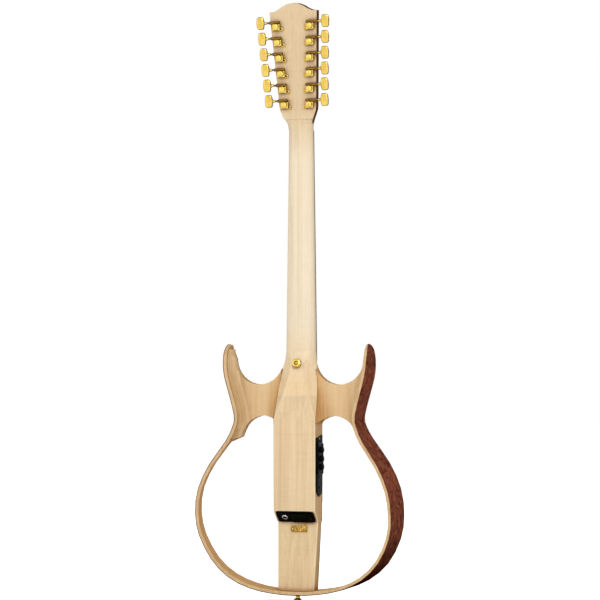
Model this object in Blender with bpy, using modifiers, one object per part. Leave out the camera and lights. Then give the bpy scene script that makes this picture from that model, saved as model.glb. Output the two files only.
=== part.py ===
"""Twelve-string acoustic-electric guitar with an open frame body.

Metres, +Z up along the neck, +X to the bass side, -Y to the back and +Y to the strings.
The origin is at the nut, on the plane where the fingerboard is glued to the neck.
"""
import math

import bmesh
import bpy
from mathutils import Matrix, Vector

# Fits and clearances
GAP = 0.0003
RUNNING_GAP = 0.0004

# Scale, fingerboard and strings
SCALE_LENGTH = 0.650
FRET_COUNT = 22
NUT_HALF_WIDTH = 0.0225
NECK_SPREAD = 0.0132
BOARD_THICKNESS = 0.006
BOARD_END_Z = -0.474
FRET_WIDTH = 0.0022
FRET_CROWN = 0.0011
FRET_TANG_WIDTH = 0.0006
FRET_TANG_DEPTH = 0.0030
FRET_STRIP_HALF_WIDTH = 0.0010
FRET_STRIP_FACES = (0.0006, 0.0037)
NUT_THICKNESS = 0.005
COURSE_SPACING_NUT = 0.0077
COURSE_SPACING_SADDLE = 0.0104
PAIR_GAP_NUT = 0.0018
PAIR_GAP_SADDLE = 0.0028
STRING_Y_NUT = 0.0076
STRING_Y_SADDLE = 0.0135
STRING_BAR = 0.0009
# Radii of each course, bass side first: the main string, then its partner
STRING_RADII = (
    (0.00060, 0.00034), (0.00050, 0.00023), (0.00038, 0.00016),
    (0.00029, 0.00014), (0.00018, 0.00018), (0.00014, 0.00014))

# Neck
NECK_DEPTH_NUT = 0.0156
NECK_DEPTH_HEEL = 0.0172
NECK_EDGE = 0.0030
ROD_RADIUS = 0.0025
ROD_CHANNEL_WIDTH = 0.0060
ROD_CHANNEL_DEPTH = 0.0085
ROD_END_Z = -0.400

# Headstock, in its own plane
HEAD_TILT = 10.0
HEAD_THICKNESS = 0.0140
VENEER_THICKNESS = 0.0020
# Half outline of the headstock from the flare to the crest: across, along
HEAD_FLARE = ((0.0272, 0.0170), (0.0305, 0.0250), (0.0335, 0.0330), (0.0345, 0.0400))
HEAD_CORNER = (0.0443, 0.2105)
HEAD_CREST = ((0.0355, 0.2115), (0.0275, 0.2150), (0.0190, 0.2205), (0.0100, 0.2243), (0.0, 0.2255))

# Truss rod cover, in the plane of the headstock: half outline
COVER_OUTLINE = ((0.0095, 0.0030), (0.0095, 0.0160), (0.0070, 0.0300), (0.0032, 0.0470))
COVER_THICKNESS = 0.0016
ROD_POCKET_END = 0.0340

# Tuners
TUNER_ROWS = 6
TUNER_FIRST = 0.0450
TUNER_PITCH = 0.0281
POST_HALF_SPACING = 0.0235
POST_SPREAD = 0.00164
POST_RADIUS = 0.00275
POST_HEIGHT = 0.0150
WIND_RADIUS = 0.0034
WIND_HEIGHT = 0.0032
BUSHING_RADIUS = 0.0050
BUSHING_FLANGE_RADIUS = 0.0062
BUSHING_FLANGE = 0.0014
RAIL_WIDTH = 0.0036
RAIL_THICKNESS = 0.0006
HOUSING_SIZE = 0.0156
HOUSING_HEIGHT = 0.0078
CAP_RADIUS = 0.0060
CAP_HEIGHT = 0.0030
LUG_OFFSET = (0.0092, 0.0062)
LUG_RADIUS = 0.0030
LUG_THICKNESS = 0.0022
WORM_OFFSET = 0.0062
WORM_HEIGHT = 0.0042
WORM_BARREL_RADIUS = 0.0035
WORM_BARREL_REACH = 0.0128
SHAFT_RADIUS = 0.00165
BUTTON_REACH = 0.0288
BUTTON_SIZE = (0.0152, 0.0230)
BUTTON_THICKNESS = 0.0070

# Heel and body box: height, half width, half of the back facet, depth at the side, depth at the back
HEEL_STATIONS = (
    (-0.415, 0.0297, 0.0090, 0.0100, 0.0220),
    (-0.447, 0.0345, 0.0163, 0.0150, 0.0290),
    (-0.479, 0.0370, 0.0240, 0.0260, 0.0360),
    (-0.525, 0.0392, 0.0382, 0.0450, 0.0460))
HEEL_JOINT_Z = -0.479
BOX_HALF_WIDTH = 0.0392
BOX_DEPTH = 0.0460
BOX_WALL = 0.0045
BOX_END_Z = -0.706
BOX_SLANT_RISE = 0.0210
BOX_SLANT_FOOT_Y = -0.0220
CAVITY_TOP = (-0.505, -0.0330)
CAVITY_SHOULDER = (-0.5275, -0.0415)
CAVITY_END_RISE = 0.0160
LEDGE_TOP_Z = -0.4250
TOP_THICKNESS = 0.0030
TENON_HALF_WIDTH = 0.0140
TENON_LENGTH = 0.0110

# Tail plank: half widths and faces at its two ends
PLANK_HALF_WIDTHS = (0.0379, 0.0334)
PLANK_FRONT = (0.0, -0.0090)
PLANK_BACK = (BOX_SLANT_FOOT_Y, -0.0350)
PLANK_END_Z = -0.8375

# Wings
WING_THICKNESS = 0.0155
BOX_FILLET = 0.0140
RIM_FILLET = 0.0120
RIM_FILLET_DROP = 0.0040
WING_TOP_Z = -0.3960
WING_END_Z = -0.5720
CUTAWAY_CENTRE = (0.0750, -0.4140)
CUTAWAY_RADIUS = 0.0460
HORN_EDGE = ((0.1258, -0.4025), (0.1284, -0.3780))
# Upper edge of the lower opening, from the box side to the corner and on to the rim
OPENING_ARC = (
    (0.0392, -0.5310), (0.0445, -0.5235), (0.0647, -0.5160), (0.0823, -0.5200),
    (0.0958, -0.5290), (0.1040, -0.5420), (0.1090, -0.5550))
OPENING_CORNER = (0.1300, -0.5640)

# Rim, from horn tip to tail: across, height, flare of the front edge, depth, thickness
RIM_STATIONS = (
    (0.1318, -0.3870, 0.0000, 0.0240, 0.0040),
    (0.1340, -0.3930, 0.0005, 0.0330, 0.0058),
    (0.1350, -0.4060, 0.0032, 0.0420, 0.0068),
    (0.1342, -0.4240, 0.0052, 0.0470, 0.0070),
    (0.1315, -0.4460, 0.0058, 0.0480, 0.0070),
    (0.1228, -0.4780, 0.0058, 0.0470, 0.0070),
    (0.1135, -0.5160, 0.0055, 0.0460, 0.0070),
    (0.1165, -0.5360, 0.0060, 0.0465, 0.0070),
    (0.1282, -0.5620, 0.0085, 0.0480, 0.0070),
    (0.1558, -0.6040, 0.0105, 0.0495, 0.0070),
    (0.1745, -0.6480, 0.0118, 0.0500, 0.0070),
    (0.1805, -0.6920, 0.0112, 0.0500, 0.0068),
    (0.1765, -0.7320, 0.0092, 0.0490, 0.0068),
    (0.1565, -0.7750, 0.0068, 0.0475, 0.0068),
    (0.1250, -0.8065, 0.0030, 0.0465, 0.0068),
    (0.0850, -0.8255, 0.0006, 0.0460, 0.0068),
    (0.0420, -0.8340, 0.0000, 0.0460, 0.0068),
    (0.0000, -0.8365, 0.0000, 0.0460, 0.0068))
RIM_STEPS = 2
# Extra fullness of the treble lower bout, between two heights and beyond a half width
TREBLE_SWELL = 0.0065
SWELL_HEIGHTS = (-0.7900, -0.5350)
SWELL_FROM_X = 0.1000
VENEER_SKIN = 0.0010
EDGE_EASE = 0.0010
CLEARANCE_REACH = 0.0250
# Rounding of the horn tips' front corner: its two heights and its depth
TIP_HEIGHTS = (-0.3962, -0.3868)
TIP_DEPTH = 0.0200
# Depths between which the guide solids cut the body
CUT_FACES = (0.0200, -0.0900)

# Bridge
BRIDGE_HALF_WIDTH = 0.0370
BRIDGE_ABOVE_SADDLE = 0.0120
BRIDGE_LENGTH = 0.0360
BRIDGE_THICKNESS = 0.0090
SADDLE_THICKNESS = 0.0026
SADDLE_SLOT_DEPTH = 0.0060
PICKUP_THICKNESS = 0.0011
PINS_BELOW_SADDLE = (0.0100, 0.0175)
PIN_PAIR_GAP = 0.0054
PIN_HEAD_HEIGHT = 0.0020
PIN_RADIUS = 0.0022
PIN_HEAD_RADIUS = 0.0034
PIN_LENGTH = 0.0150
PIN_BAR_HALF_LENGTH = 0.0335
PIN_BAR_EDGE = 0.0030
PIN_BAR_THICKNESS = 0.0014

# Strap buttons
STRAP_HEIGHT = 0.0110
STRAP_HEAD_RADIUS = 0.0075
STRAP_NECK_RADIUS = 0.0036
STRAP_BASE_RADIUS = 0.0064
STRAP_SCREW_RADIUS = 0.0019
STRAP_SCREW_LENGTH = 0.0200
HEEL_STRAP_Z = -0.423

# Preamp in the bass side of the box
PREAMP_TOP_Z = -0.5500
PREAMP_BOTTOM_Z = -0.6600
PREAMP_BACK_Y = -0.0435
PREAMP_FRONT_Y = -0.0040
PREAMP_FLANGE = 0.0016
PREAMP_INSET = 0.0230
PREAMP_BODY_BOTTOM_Z = -0.6300
PREAMP_PANEL_Z = (-0.5640, -0.6210)
PREAMP_PANEL_HEIGHT = 0.0022
PREAMP_LIP = 0.0050
KNOB_HEIGHTS = (-0.5765, -0.5925, -0.6070)
KNOB_RADIUS = 0.0060
KNOB_REACH = 0.0060
KNOB_STEM_RADIUS = 0.0020
KEY_Z = -0.6450
KEY_RADIUS = 0.0030
KEY_TRAVEL = 0.0010
KEY_REACH = 0.0016
KEY_DEPTH = 0.0050
BOSS_INSET = 0.0080
BOSS_BOTTOM_Z = -0.6520

# End panel, jack and battery
PANEL_HALF_WIDTH = 0.0350
PANEL_HALF_HEIGHT = 0.0140
PANEL_THICKNESS = 0.0020
PANEL_CORNER = 0.0040
PANEL_CUT_HALF = (0.0310, 0.0122)
JACK_X = -0.0200
JACK_RING_RADIUS = 0.0068
JACK_BARREL_RADIUS = 0.0046
JACK_BODY_RADIUS = 0.0072
JACK_BORE_RADIUS = 0.0033
JACK_DEPTH = 0.0220
BATTERY_X = 0.0120
BATTERY_SIZE = (0.0265, 0.0175, 0.0460)
WELL_WALL = 0.0010
WELL_TILT = 20.0
WELL_OFFSET = -0.0012
DOOR_HALF_WIDTH = 0.0180
DOOR_THICKNESS = 0.0018
DOOR_FOOT = -0.0125
DOOR_AXIS_UP = 0.0115
DOOR_BARREL_RADIUS = 0.0011
DOOR_PIN_RADIUS = 0.0007
EAR_WIDTH = 0.0024
EAR_RADIUS = 0.0021

# Catch below the battery door
CATCH_X = 0.0028
CATCH_Z = -0.7190
CATCH_HALF_WIDTH = 0.0150
CATCH_HEIGHT = 0.0105
CATCH_THICKNESS = 0.0016
SLIDER_HALF_WIDTH = 0.0035
SLIDER_TRAVEL = 0.0030
FINGER_HALF_WIDTH = 0.0012
FINGER_REACH = 0.0045

# Finishes: colour, roughness, metallic
FINISHES = {
    "maple": ((0.716, 0.539, 0.314), 0.45, 0.0),
    "pale_maple": ((0.850, 0.690, 0.450), 0.40, 0.0),
    "brown_veneer": ((0.127, 0.041, 0.025), 0.45, 0.0),
    "rosewood": ((0.040, 0.022, 0.014), 0.50, 0.0),
    "gold": ((0.830, 0.600, 0.200), 0.25, 1.0),
    "steel": ((0.600, 0.600, 0.600), 0.30, 1.0),
    "bronze": ((0.550, 0.330, 0.150), 0.35, 1.0),
    "bone": ((0.800, 0.740, 0.600), 0.45, 0.0),
    "black_plastic": ((0.010, 0.010, 0.010), 0.35, 0.0),
    "grey_plastic": ((0.090, 0.090, 0.090), 0.40, 0.0)}

# Heights that follow from the box's end and the saddle
BOX_SLANT_Z = BOX_END_Z + BOX_SLANT_RISE
CAVITY_END_Z = BOX_END_Z + CAVITY_END_RISE
BRIDGE_TOP_Z = BRIDGE_ABOVE_SADDLE - SCALE_LENGTH
PIN_ROWS = tuple(-SCALE_LENGTH - drop for drop in PINS_BELOW_SADDLE)

# Direction down and forward along the slanted end of the box, and the outward normal
SLANT_ALONG = Vector((0.0, BOX_SLANT_FOOT_Y + BOX_DEPTH, BOX_END_Z - BOX_SLANT_Z)).normalized()
SLANT_NORMAL = Vector((0.0, SLANT_ALONG.z, -SLANT_ALONG.y))
SLANT_CENTRE = Vector((0.0, (BOX_SLANT_FOOT_Y - BOX_DEPTH) / 2, (BOX_END_Z + BOX_SLANT_Z) / 2))

# Frame of the headstock: local +Y out of its front, local +Z along it
HEAD = Matrix.Translation((0, 0, NUT_THICKNESS)) @ Matrix.Rotation(math.radians(HEAD_TILT), 4, "X")
HEAD_FRONT = -(VENEER_THICKNESS + GAP)
HEAD_BACK = HEAD_FRONT - HEAD_THICKNESS

# Frame of the box's end face: local X across, local Y up the face, local Z outward
END_FACE = Matrix.Translation(SLANT_CENTRE) @ Matrix((
    (1, 0, 0), (0, -SLANT_ALONG.y, -SLANT_ALONG.z), (0, SLANT_NORMAL.y, SLANT_NORMAL.z))).transposed().to_4x4()


# Scene helpers

def clear_scene():
    for thing in list(bpy.data.objects):
        bpy.data.objects.remove(thing, do_unlink=True)


def new_collection(name):
    group = bpy.data.collections.new(name)
    bpy.context.scene.collection.children.link(group)
    return group


clear_scene()
PARTS = new_collection("twelve_string_guitar")
CUTTERS = new_collection("cutters")


def finish_material(node, finish):
    colour, roughness, metallic = FINISHES[finish]
    made = bpy.data.materials.new(node)
    made.use_nodes = True
    shader = made.node_tree.nodes["Principled BSDF"]
    shader.inputs["Base Color"].default_value = (*colour, 1.0)
    shader.inputs["Roughness"].default_value = roughness
    shader.inputs["Metallic"].default_value = metallic
    made.diffuse_color = (*colour, 1.0)
    return made


def part(name, mesh, finish, matrix=None):
    """Adds a sub-part with its own material."""
    made = bpy.data.objects.new(name, mesh)
    made.matrix_world = matrix or Matrix.Identity(4)
    mesh.materials.clear()
    mesh.materials.append(finish_material(name, finish))
    PARTS.objects.link(made)
    return made


def cutter(name, mesh, matrix=None):
    """Adds a guide solid that only shapes other pieces."""
    made = bpy.data.objects.new(name, mesh)
    made.matrix_world = matrix or Matrix.Identity(4)
    made.hide_render = True
    made.display_type = "WIRE"
    CUTTERS.objects.link(made)
    return made


def boolean(target, tool, operation):
    step = target.modifiers.new(operation.lower() + "_" + tool.name, "BOOLEAN")
    step.operation = operation
    step.solver = "EXACT"
    step.object = tool
    return step


def cut(target, *tools):
    for tool in tools:
        boolean(target, tool, "DIFFERENCE")


def fuse(target, *tools):
    for tool in tools:
        boolean(target, tool, "UNION")


def baked(thing):
    """The evaluated mesh of an object, which is then removed."""
    bpy.context.view_layer.update()
    graph = bpy.context.evaluated_depsgraph_get()
    mesh = bpy.data.meshes.new_from_object(thing.evaluated_get(graph))
    mesh.transform(thing.matrix_world)
    bpy.data.objects.remove(thing, do_unlink=True)
    return mesh


def combined(base, adds=(), cuts=()):
    """One mesh from a base mesh, meshes joined to it and meshes cut from it."""
    target = cutter("working", base)
    tools = [cutter("tool", mesh) for mesh in (*adds, *cuts)]
    fuse(target, *tools[:len(adds)])
    cut(target, *tools[len(adds):])
    mesh = baked(target)
    for tool in tools:
        bpy.data.objects.remove(tool, do_unlink=True)
    return mesh


def bevelled(mesh, width, segments=1, angle=35.0):
    target = cutter("working", mesh)
    step = target.modifiers.new("edges", "BEVEL")
    step.width = width
    step.segments = segments
    step.limit_method = "ANGLE"
    step.angle_limit = math.radians(angle)
    return baked(target)


# Mesh helpers

def finished(shape, name="mesh"):
    bmesh.ops.recalc_face_normals(shape, faces=shape.faces)
    mesh = bpy.data.meshes.new(name)
    shape.to_mesh(mesh)
    shape.free()
    return mesh


def block(low, high):
    """A box between two opposite corners."""
    low, high = Vector(low), Vector(high)
    shape = bmesh.new()
    size = high - low
    place = Matrix.Translation((low + high) / 2) @ Matrix.Diagonal((*size, 1.0))
    bmesh.ops.create_cube(shape, size=1.0, matrix=place)
    return finished(shape)


def along(axis):
    """Rotation that takes +Z to the axis."""
    return Vector(axis).to_track_quat("Z", "Y").to_matrix().to_4x4()


def rod(radius, start, end, sides, radius_end=None):
    """A cylinder or a cone between two points."""
    start, end = Vector(start), Vector(end)
    shape = bmesh.new()
    place = Matrix.Translation((start + end) / 2) @ along(end - start)
    bmesh.ops.create_cone(
        shape, cap_ends=True, segments=sides, radius1=radius,
        radius2=radius if radius_end is None else radius_end,
        depth=(end - start).length, matrix=place @ Matrix.Rotation(math.pi / sides, 4, "Z"))
    return finished(shape)


def turned(profile, sides):
    """A profile of radius and height points, top to bottom, turned about +Z."""
    mesh = bpy.data.meshes.new("profile")
    mesh.from_pydata([(r, 0.0, h) for r, h in profile], [(i, i + 1) for i in range(len(profile) - 1)], [])
    target = cutter("working", mesh)
    step = target.modifiers.new("turn", "SCREW")
    step.steps = sides
    step.render_steps = sides
    step.use_merge_vertices = True
    step.merge_threshold = 0.00001
    made = baked(target)
    shape = bmesh.new()
    shape.from_mesh(made)
    bmesh.ops.remove_doubles(shape, verts=shape.verts, dist=0.000005)
    bmesh.ops.delete(shape, geom=[edge for edge in shape.edges if not edge.link_faces], context="EDGES")
    return finished(shape)


def outline_solid(points, thickness):
    """A flat closed outline in XY, thickened both ways about Z = 0."""
    curve = bpy.data.curves.new("outline", "CURVE")
    curve.dimensions = "2D"
    curve.fill_mode = "BOTH"
    curve.extrude = thickness / 2
    spline = curve.splines.new("POLY")
    spline.points.add(len(points) - 1)
    for point, (x, y) in zip(spline.points, points):
        point.co = (x, y, 0.0, 1.0)
    spline.use_cyclic_u = True
    mesh = baked(cutter("working", curve))
    shape = bmesh.new()
    shape.from_mesh(mesh)
    bmesh.ops.remove_doubles(shape, verts=shape.verts, dist=0.000002)
    return finished(shape)


def facing_back(points, front, back):
    """An outline in XZ, thick from one depth to another."""
    mesh = outline_solid(points, abs(front - back))
    mesh.transform(Matrix.Translation((0, (front + back) / 2, 0)) @ Matrix.Rotation(math.pi / 2, 4, "X"))
    return mesh


def side_profile(points, left, right):
    """An outline in YZ, thick from one X to another."""
    mesh = outline_solid(points, abs(right - left))
    turn = Matrix(((0, 0, 1, 0), (1, 0, 0, 0), (0, 1, 0, 0), (0, 0, 0, 1)))
    mesh.transform(Matrix.Translation(((left + right) / 2, 0, 0)) @ turn)
    return mesh


def split_quad(first, second):
    """Two triangles between two edges, split alike on surfaces that lie against each other."""
    high, low = (first, second) if first[0].co.z >= second[0].co.z else (second, first)
    if high[0].co.y >= high[1].co.y:
        return (high[0], high[1], low[1]), (high[0], low[1], low[0])
    return (high[0], high[1], low[0]), (high[1], low[1], low[0])


def loft(rings):
    """A closed skin over rings with matching points, capped at both ends."""
    shape = bmesh.new()
    loops = [[shape.verts.new(point) for point in ring] for ring in rings]
    count = len(rings[0])
    for upper, lower in zip(loops, loops[1:]):
        for i in range(count):
            j = (i + 1) % count
            for corners in split_quad((upper[i], upper[j]), (lower[i], lower[j])):
                shape.faces.new(corners)
    shape.faces.new(loops[0])
    shape.faces.new(loops[-1])
    bmesh.ops.triangulate(shape, faces=shape.faces)
    return finished(shape)


def merged(pieces):
    """One mesh from pairs of a mesh and its place, left as separate solids."""
    shape = bmesh.new()
    for mesh, place in pieces:
        copy = mesh.copy()
        copy.transform(place)
        if place.determinant() < 0:
            copy.flip_normals()
        shape.from_mesh(copy)
        bpy.data.meshes.remove(copy)
    mesh = bpy.data.meshes.new("group")
    shape.to_mesh(mesh)
    shape.free()
    return mesh


def smooth_path(points, steps):
    """Points on a Catmull-Rom curve through points of any number of values."""
    first = [2 * a - b for a, b in zip(points[0], points[1])]
    last = [2 * a - b for a, b in zip(points[-1], points[-2])]
    return smooth_between([first, *points, last], steps)


def smooth_between(points, steps):
    """Catmull-Rom points from the second point to the last but one."""
    path = []
    for p0, p1, p2, p3 in zip(points, points[1:], points[2:], points[3:]):
        for i in range(steps):
            t = i / steps
            path.append(tuple(
                0.5 * (2 * b + (c - a) * t + (2 * a - 5 * b + 4 * c - d) * t * t
                       + (3 * b - a - 3 * c + d) * t ** 3)
                for a, b, c, d in zip(p0, p1, p2, p3)))
    path.append(tuple(points[-2]))
    return path


def mirrored(points):
    return [(-x, z) for x, z in points]


def mix(a, b, t):
    return a + (b - a) * t


def interpolate(stations, z):
    """Values of a table, whose rows start with a falling height, at a height."""
    if z >= stations[0][0]:
        return stations[0][1:]
    for upper, lower in zip(stations, stations[1:]):
        if z >= lower[0]:
            t = (z - upper[0]) / (lower[0] - upper[0])
            return tuple(mix(a, b, t) for a, b in zip(upper[1:], lower[1:]))
    return stations[-1][1:]


# Neck and headstock

def neck_half_width(z):
    return NUT_HALF_WIDTH - NECK_SPREAD * z


def mirror_half(half, z):
    """A closed ring from the right half of a section, front corner first."""
    left = [(-x, y) for x, y in reversed(half[:-1])]
    return [(x, y, z) for x, y in (*half, *left)]


def rounded_half(half_width, depth):
    """Half of the neck's D section, seven points."""
    points = [(half_width, 0.0)]
    for i in range(6):
        a = math.radians(90 * i / 5)
        points.append((half_width * math.cos(a), -NECK_EDGE - (depth - NECK_EDGE) * math.sin(a)))
    points[-1] = (0.0, -depth)
    return points


def square_half(half_width, depth):
    across = (1.0, 1.0, 1.0, 0.94, 0.66, 0.33, 0.0)
    deep = (0.0, 0.40, 0.85, 1.0, 1.0, 1.0, 1.0)
    return [(half_width * a, -depth * d) for a, d in zip(across, deep)]


def faceted_half(z):
    half_width, facet, side, back = interpolate(HEEL_STATIONS, z)
    points = [(half_width, 0.0)]
    points += [(mix(half_width, facet, t), -mix(side, back, t)) for t in (0.0, 0.34, 0.67, 1.0)]
    points += [(facet / 2, -back), (0.0, -back)]
    return points


def blend_half(a, b, t):
    return [(mix(p[0], q[0], t), mix(p[1], q[1], t)) for p, q in zip(a, b)]


def head_plane_depth(z):
    """Depth of the headstock's back face at a height."""
    tilt = math.radians(HEAD_TILT)
    return -HEAD_BACK / math.cos(tilt) + (z - NUT_THICKNESS) * math.tan(tilt)


def neck_core():
    """The neck from the volute to the heel joint."""
    rings = []
    volute = ((0.0240, 0.0280, 1.0), (0.0170, 0.0252, 0.75), (0.0100, 0.0234, 0.30))
    for z, half_width, square in volute:
        depth = head_plane_depth(z) - GAP
        rounded = rounded_half(half_width, depth)
        rings.append(mirror_half(blend_half(rounded, square_half(half_width, depth), square), z))
    heel_top = HEEL_STATIONS[0][0]
    depths = ((0.0, NECK_DEPTH_NUT + 0.0008), (-0.030, NECK_DEPTH_NUT), (heel_top + 0.015, NECK_DEPTH_HEEL))
    for z, depth in depths:
        rings.append(mirror_half(rounded_half(neck_half_width(z), depth), z))
    for z, t in ((heel_top, 0.45), (heel_top - 0.015, 1.0), (HEEL_STATIONS[1][0], 1.0), (HEEL_JOINT_Z, 1.0)):
        rounded = rounded_half(neck_half_width(z), HEEL_STATIONS[0][4])
        rings.append(mirror_half(blend_half(rounded, faceted_half(z), t), z))
    return loft(rings)


def head_outline():
    right = [*HEAD_FLARE, HEAD_CORNER, *HEAD_CREST]
    return right + mirrored(reversed(right[:-1]))


def tuner_places():
    """Side and place of each post in the plane of the headstock, from the nut up, bass side first."""
    places = []
    for side in (1, -1):
        for row in range(TUNER_ROWS):
            x = POST_HALF_SPACING + POST_SPREAD * row
            places.append((side, side * x, TUNER_FIRST + TUNER_PITCH * row))
    return places


def head_cutter(name, radius, sides, y_from, y_to, places):
    hole = rod(radius, (0, y_from, 0), (0, y_to, 0), sides)
    return cutter(name, merged([(hole, Matrix.Translation((x, 0, z))) for x, z in places]), HEAD)


TUNERS = tuner_places()
U_CUTTERS = []
RIM_CLEARANCES = []
OPENING_CUTTERS = []


def rail_mesh(side, room=0.0, over=0.0):
    """Thin strip under the facing that joins the tuners of a side, with room all round it."""
    places = [(x, z) for hand, x, z in TUNERS if hand == side]
    (x1, z1), (x2, z2) = places[0], places[-1]
    reach = RAIL_WIDTH / 2 + room
    points = [(x1 - reach, z1), (x1 + reach, z1), (x2 + reach, z2), (x2 - reach, z2)]
    return facing_back(points, HEAD_FRONT - over, HEAD_FRONT - RAIL_THICKNESS - room)


def add_neck():
    neck = part("neck", neck_core(), "pale_maple")
    plate = cutter("head_plate", facing_back(head_outline(), HEAD_FRONT, HEAD_BACK), HEAD)
    fuse(neck, plate)
    reach = HEAD_CORNER[0] + 0.02
    front = block((-reach, HEAD_FRONT, 0.0), (reach, 0.04, HEAD_CREST[-1][1] + 0.02))
    cut(neck, cutter("head_front", front, HEAD))
    cut(neck, head_cutter(
        "bushing_holes", BUSHING_RADIUS + GAP, 6, HEAD_BACK - 0.01, 0.01,
        [(x, z) for _, x, z in TUNERS]))
    for side in (1, -1):
        groove = rail_mesh(side, GAP, -0.0010)
        cut(neck, cutter("rail_groove", groove, HEAD))
    channel = block(
        (-ROD_CHANNEL_WIDTH / 2, -ROD_CHANNEL_DEPTH, ROD_END_Z - GAP),
        (ROD_CHANNEL_WIDTH / 2, 0.01, NUT_THICKNESS + ROD_POCKET_END))
    cut(neck, cutter("rod_channel", channel))
    tenon = block(
        (-TENON_HALF_WIDTH, -0.024, HEEL_JOINT_Z - TENON_LENGTH),
        (TENON_HALF_WIDTH, -0.008, HEEL_JOINT_Z + 0.01))
    fuse(neck, cutter("neck_tenon", tenon))
    cut(neck, *U_CUTTERS)
    tongue = neck_half_width(BOARD_END_Z)
    ledge_y = -(TOP_THICKNESS + GAP)
    for side in (1, -1):
        near, far = sorted((side * tongue, side * BOX_HALF_WIDTH * 1.5))
        ledge = block((near, ledge_y, HEEL_JOINT_Z - 0.001), (far, 0.01, LEDGE_TOP_Z + GAP))
        cut(neck, cutter("top_ledge", ledge))
    foot = block((-BOX_HALF_WIDTH, ledge_y, HEEL_JOINT_Z - 0.001), (BOX_HALF_WIDTH, 0.01, BOARD_END_Z))
    cut(neck, cutter("tongue_end", foot))
    hole = strap_screw_hole()
    cut(neck, cutter("heel_strap_hole", hole, heel_strap_frame()))


def add_headstock_front():
    """Dark facing over the front of the headstock, open over the end of the truss rod."""
    right = [(neck_half_width(0) + GAP, GAP), (0.0240, 0.0080), *HEAD_FLARE]
    right = right + [HEAD_CORNER, *HEAD_CREST]
    outline = right + mirrored(reversed(right[:-1]))
    veneer = part("headstock_veneer", facing_back(outline, 0.0, -VENEER_THICKNESS), "rosewood", HEAD)
    cut(veneer, head_cutter(
        "veneer_holes", BUSHING_RADIUS + GAP, 6, HEAD_FRONT - 0.01, 0.01, [(x, z) for _, x, z in TUNERS]))
    pocket = block((-ROD_CHANNEL_WIDTH / 2, -0.01, -0.01), (ROD_CHANNEL_WIDTH / 2, 0.01, ROD_POCKET_END))
    cut(veneer, cutter("veneer_pocket", pocket, HEAD))


def add_truss_rod():
    centre = -(ROD_CHANNEL_DEPTH - ROD_RADIUS - GAP)
    shaft = rod(ROD_RADIUS, (0, centre, ROD_END_Z), (0, centre, NUT_THICKNESS + 0.006), 8)
    head = rod(ROD_RADIUS + 0.0001, (0, centre, NUT_THICKNESS + 0.005), (0, centre, NUT_THICKNESS + 0.018), 6)
    part("truss_rod", combined(shaft, adds=[head]), "steel")


def add_rod_cover():
    outline = [*COVER_OUTLINE, *mirrored(reversed(COVER_OUTLINE))]
    part("truss_rod_cover", facing_back(outline, GAP + COVER_THICKNESS, GAP), "black_plastic", HEAD)


# Fingerboard, frets, nut and strings

def fret_heights():
    return [-SCALE_LENGTH * (1 - 2 ** (-n / 12)) for n in range(1, FRET_COUNT + 1)]


def add_fingerboard():
    """Tapered board with a slot for each fret and a groove below for their strip."""
    mesh = block((-1.0, GAP, BOARD_END_Z), (1.0, BOARD_THICKNESS, -GAP))
    for vertex in mesh.vertices:
        vertex.co.x = math.copysign(neck_half_width(vertex.co.z), vertex.co.x)
    board = part("fretboard", mesh, "rosewood")
    slot = FRET_TANG_WIDTH / 2 + GAP
    bottom = BOARD_THICKNESS - FRET_TANG_DEPTH
    heights = fret_heights()
    reach = 0.05
    cutting = block((-reach, bottom, -slot), (reach, 0.02, slot))
    slots = merged([(cutting, Matrix.Translation((0, 0, z))) for z in heights])
    cut(board, cutter("fret_slots", slots))
    half = FRET_STRIP_HALF_WIDTH + GAP
    top = FRET_STRIP_FACES[1] + GAP
    groove = block((-half, -0.01, heights[-1] - slot), (half, top, heights[0] + slot))
    cut(board, cutter("fret_strip_groove", groove))


def add_frets():
    """Frets with their tangs, joined by a strip in a groove under the board."""
    seat = BOARD_THICKNESS + GAP
    tang = FRET_TANG_WIDTH / 2
    half = FRET_WIDTH / 2
    across = FRET_STRIP_HALF_WIDTH
    low, high = FRET_STRIP_FACES
    wires = []
    heights = fret_heights()
    for z in heights:
        section = [
            (seat, z + half), (seat + FRET_CROWN, z + half / 2), (seat + FRET_CROWN, z - half / 2),
            (seat, z - half), (seat, z - tang), (seat - FRET_TANG_DEPTH, z - tang),
            (seat - FRET_TANG_DEPTH, z + tang), (seat, z + tang)]
        reach = neck_half_width(z) - 0.0005
        wires.append((side_profile(section, -reach, reach), Matrix.Identity(4)))
    strip = block((-across, low, heights[-1] - tang / 2), (across, high, heights[0] + tang / 2))
    part("frets", combined(strip, adds=[merged(wires)]), "steel")


def string_table():
    """Radius and place at nut and saddle of each string, bass side first."""
    rows = []
    for course, radii in enumerate(STRING_RADII):
        middle = (len(STRING_RADII) - 1) / 2 - course
        for k, radius in enumerate(radii):
            hand = 0.5 - k
            rows.append((
                radius,
                middle * COURSE_SPACING_NUT + hand * PAIR_GAP_NUT,
                middle * COURSE_SPACING_SADDLE + hand * PAIR_GAP_SADDLE))
    return rows


STRINGS = string_table()


def add_nut():
    """Bone strip with a slot for each string."""
    half = neck_half_width(0)
    top = STRING_Y_NUT + 0.0008
    points = [(half, GAP), (half, top - 0.0012)]
    for radius, x, _ in STRINGS:
        floor = STRING_Y_NUT - radius - GAP
        left, right = x + radius + GAP, x - radius - GAP
        points += [(left, top), (left, floor), (right, floor), (right, top)]
    points += [(-half, top - 0.0012), (-half, GAP)]
    mesh = outline_solid(points, NUT_THICKNESS - 2 * GAP)
    nut = part("nut", mesh, "bone", Matrix.Translation((0, 0, NUT_THICKNESS / 2)))
    low, high = string_bar_corners()
    room = Vector((GAP, GAP, GAP))
    cut(nut, cutter("string_bar_groove", block(low - room, high + room + Vector((0, 0.01, 0)))))


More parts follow.
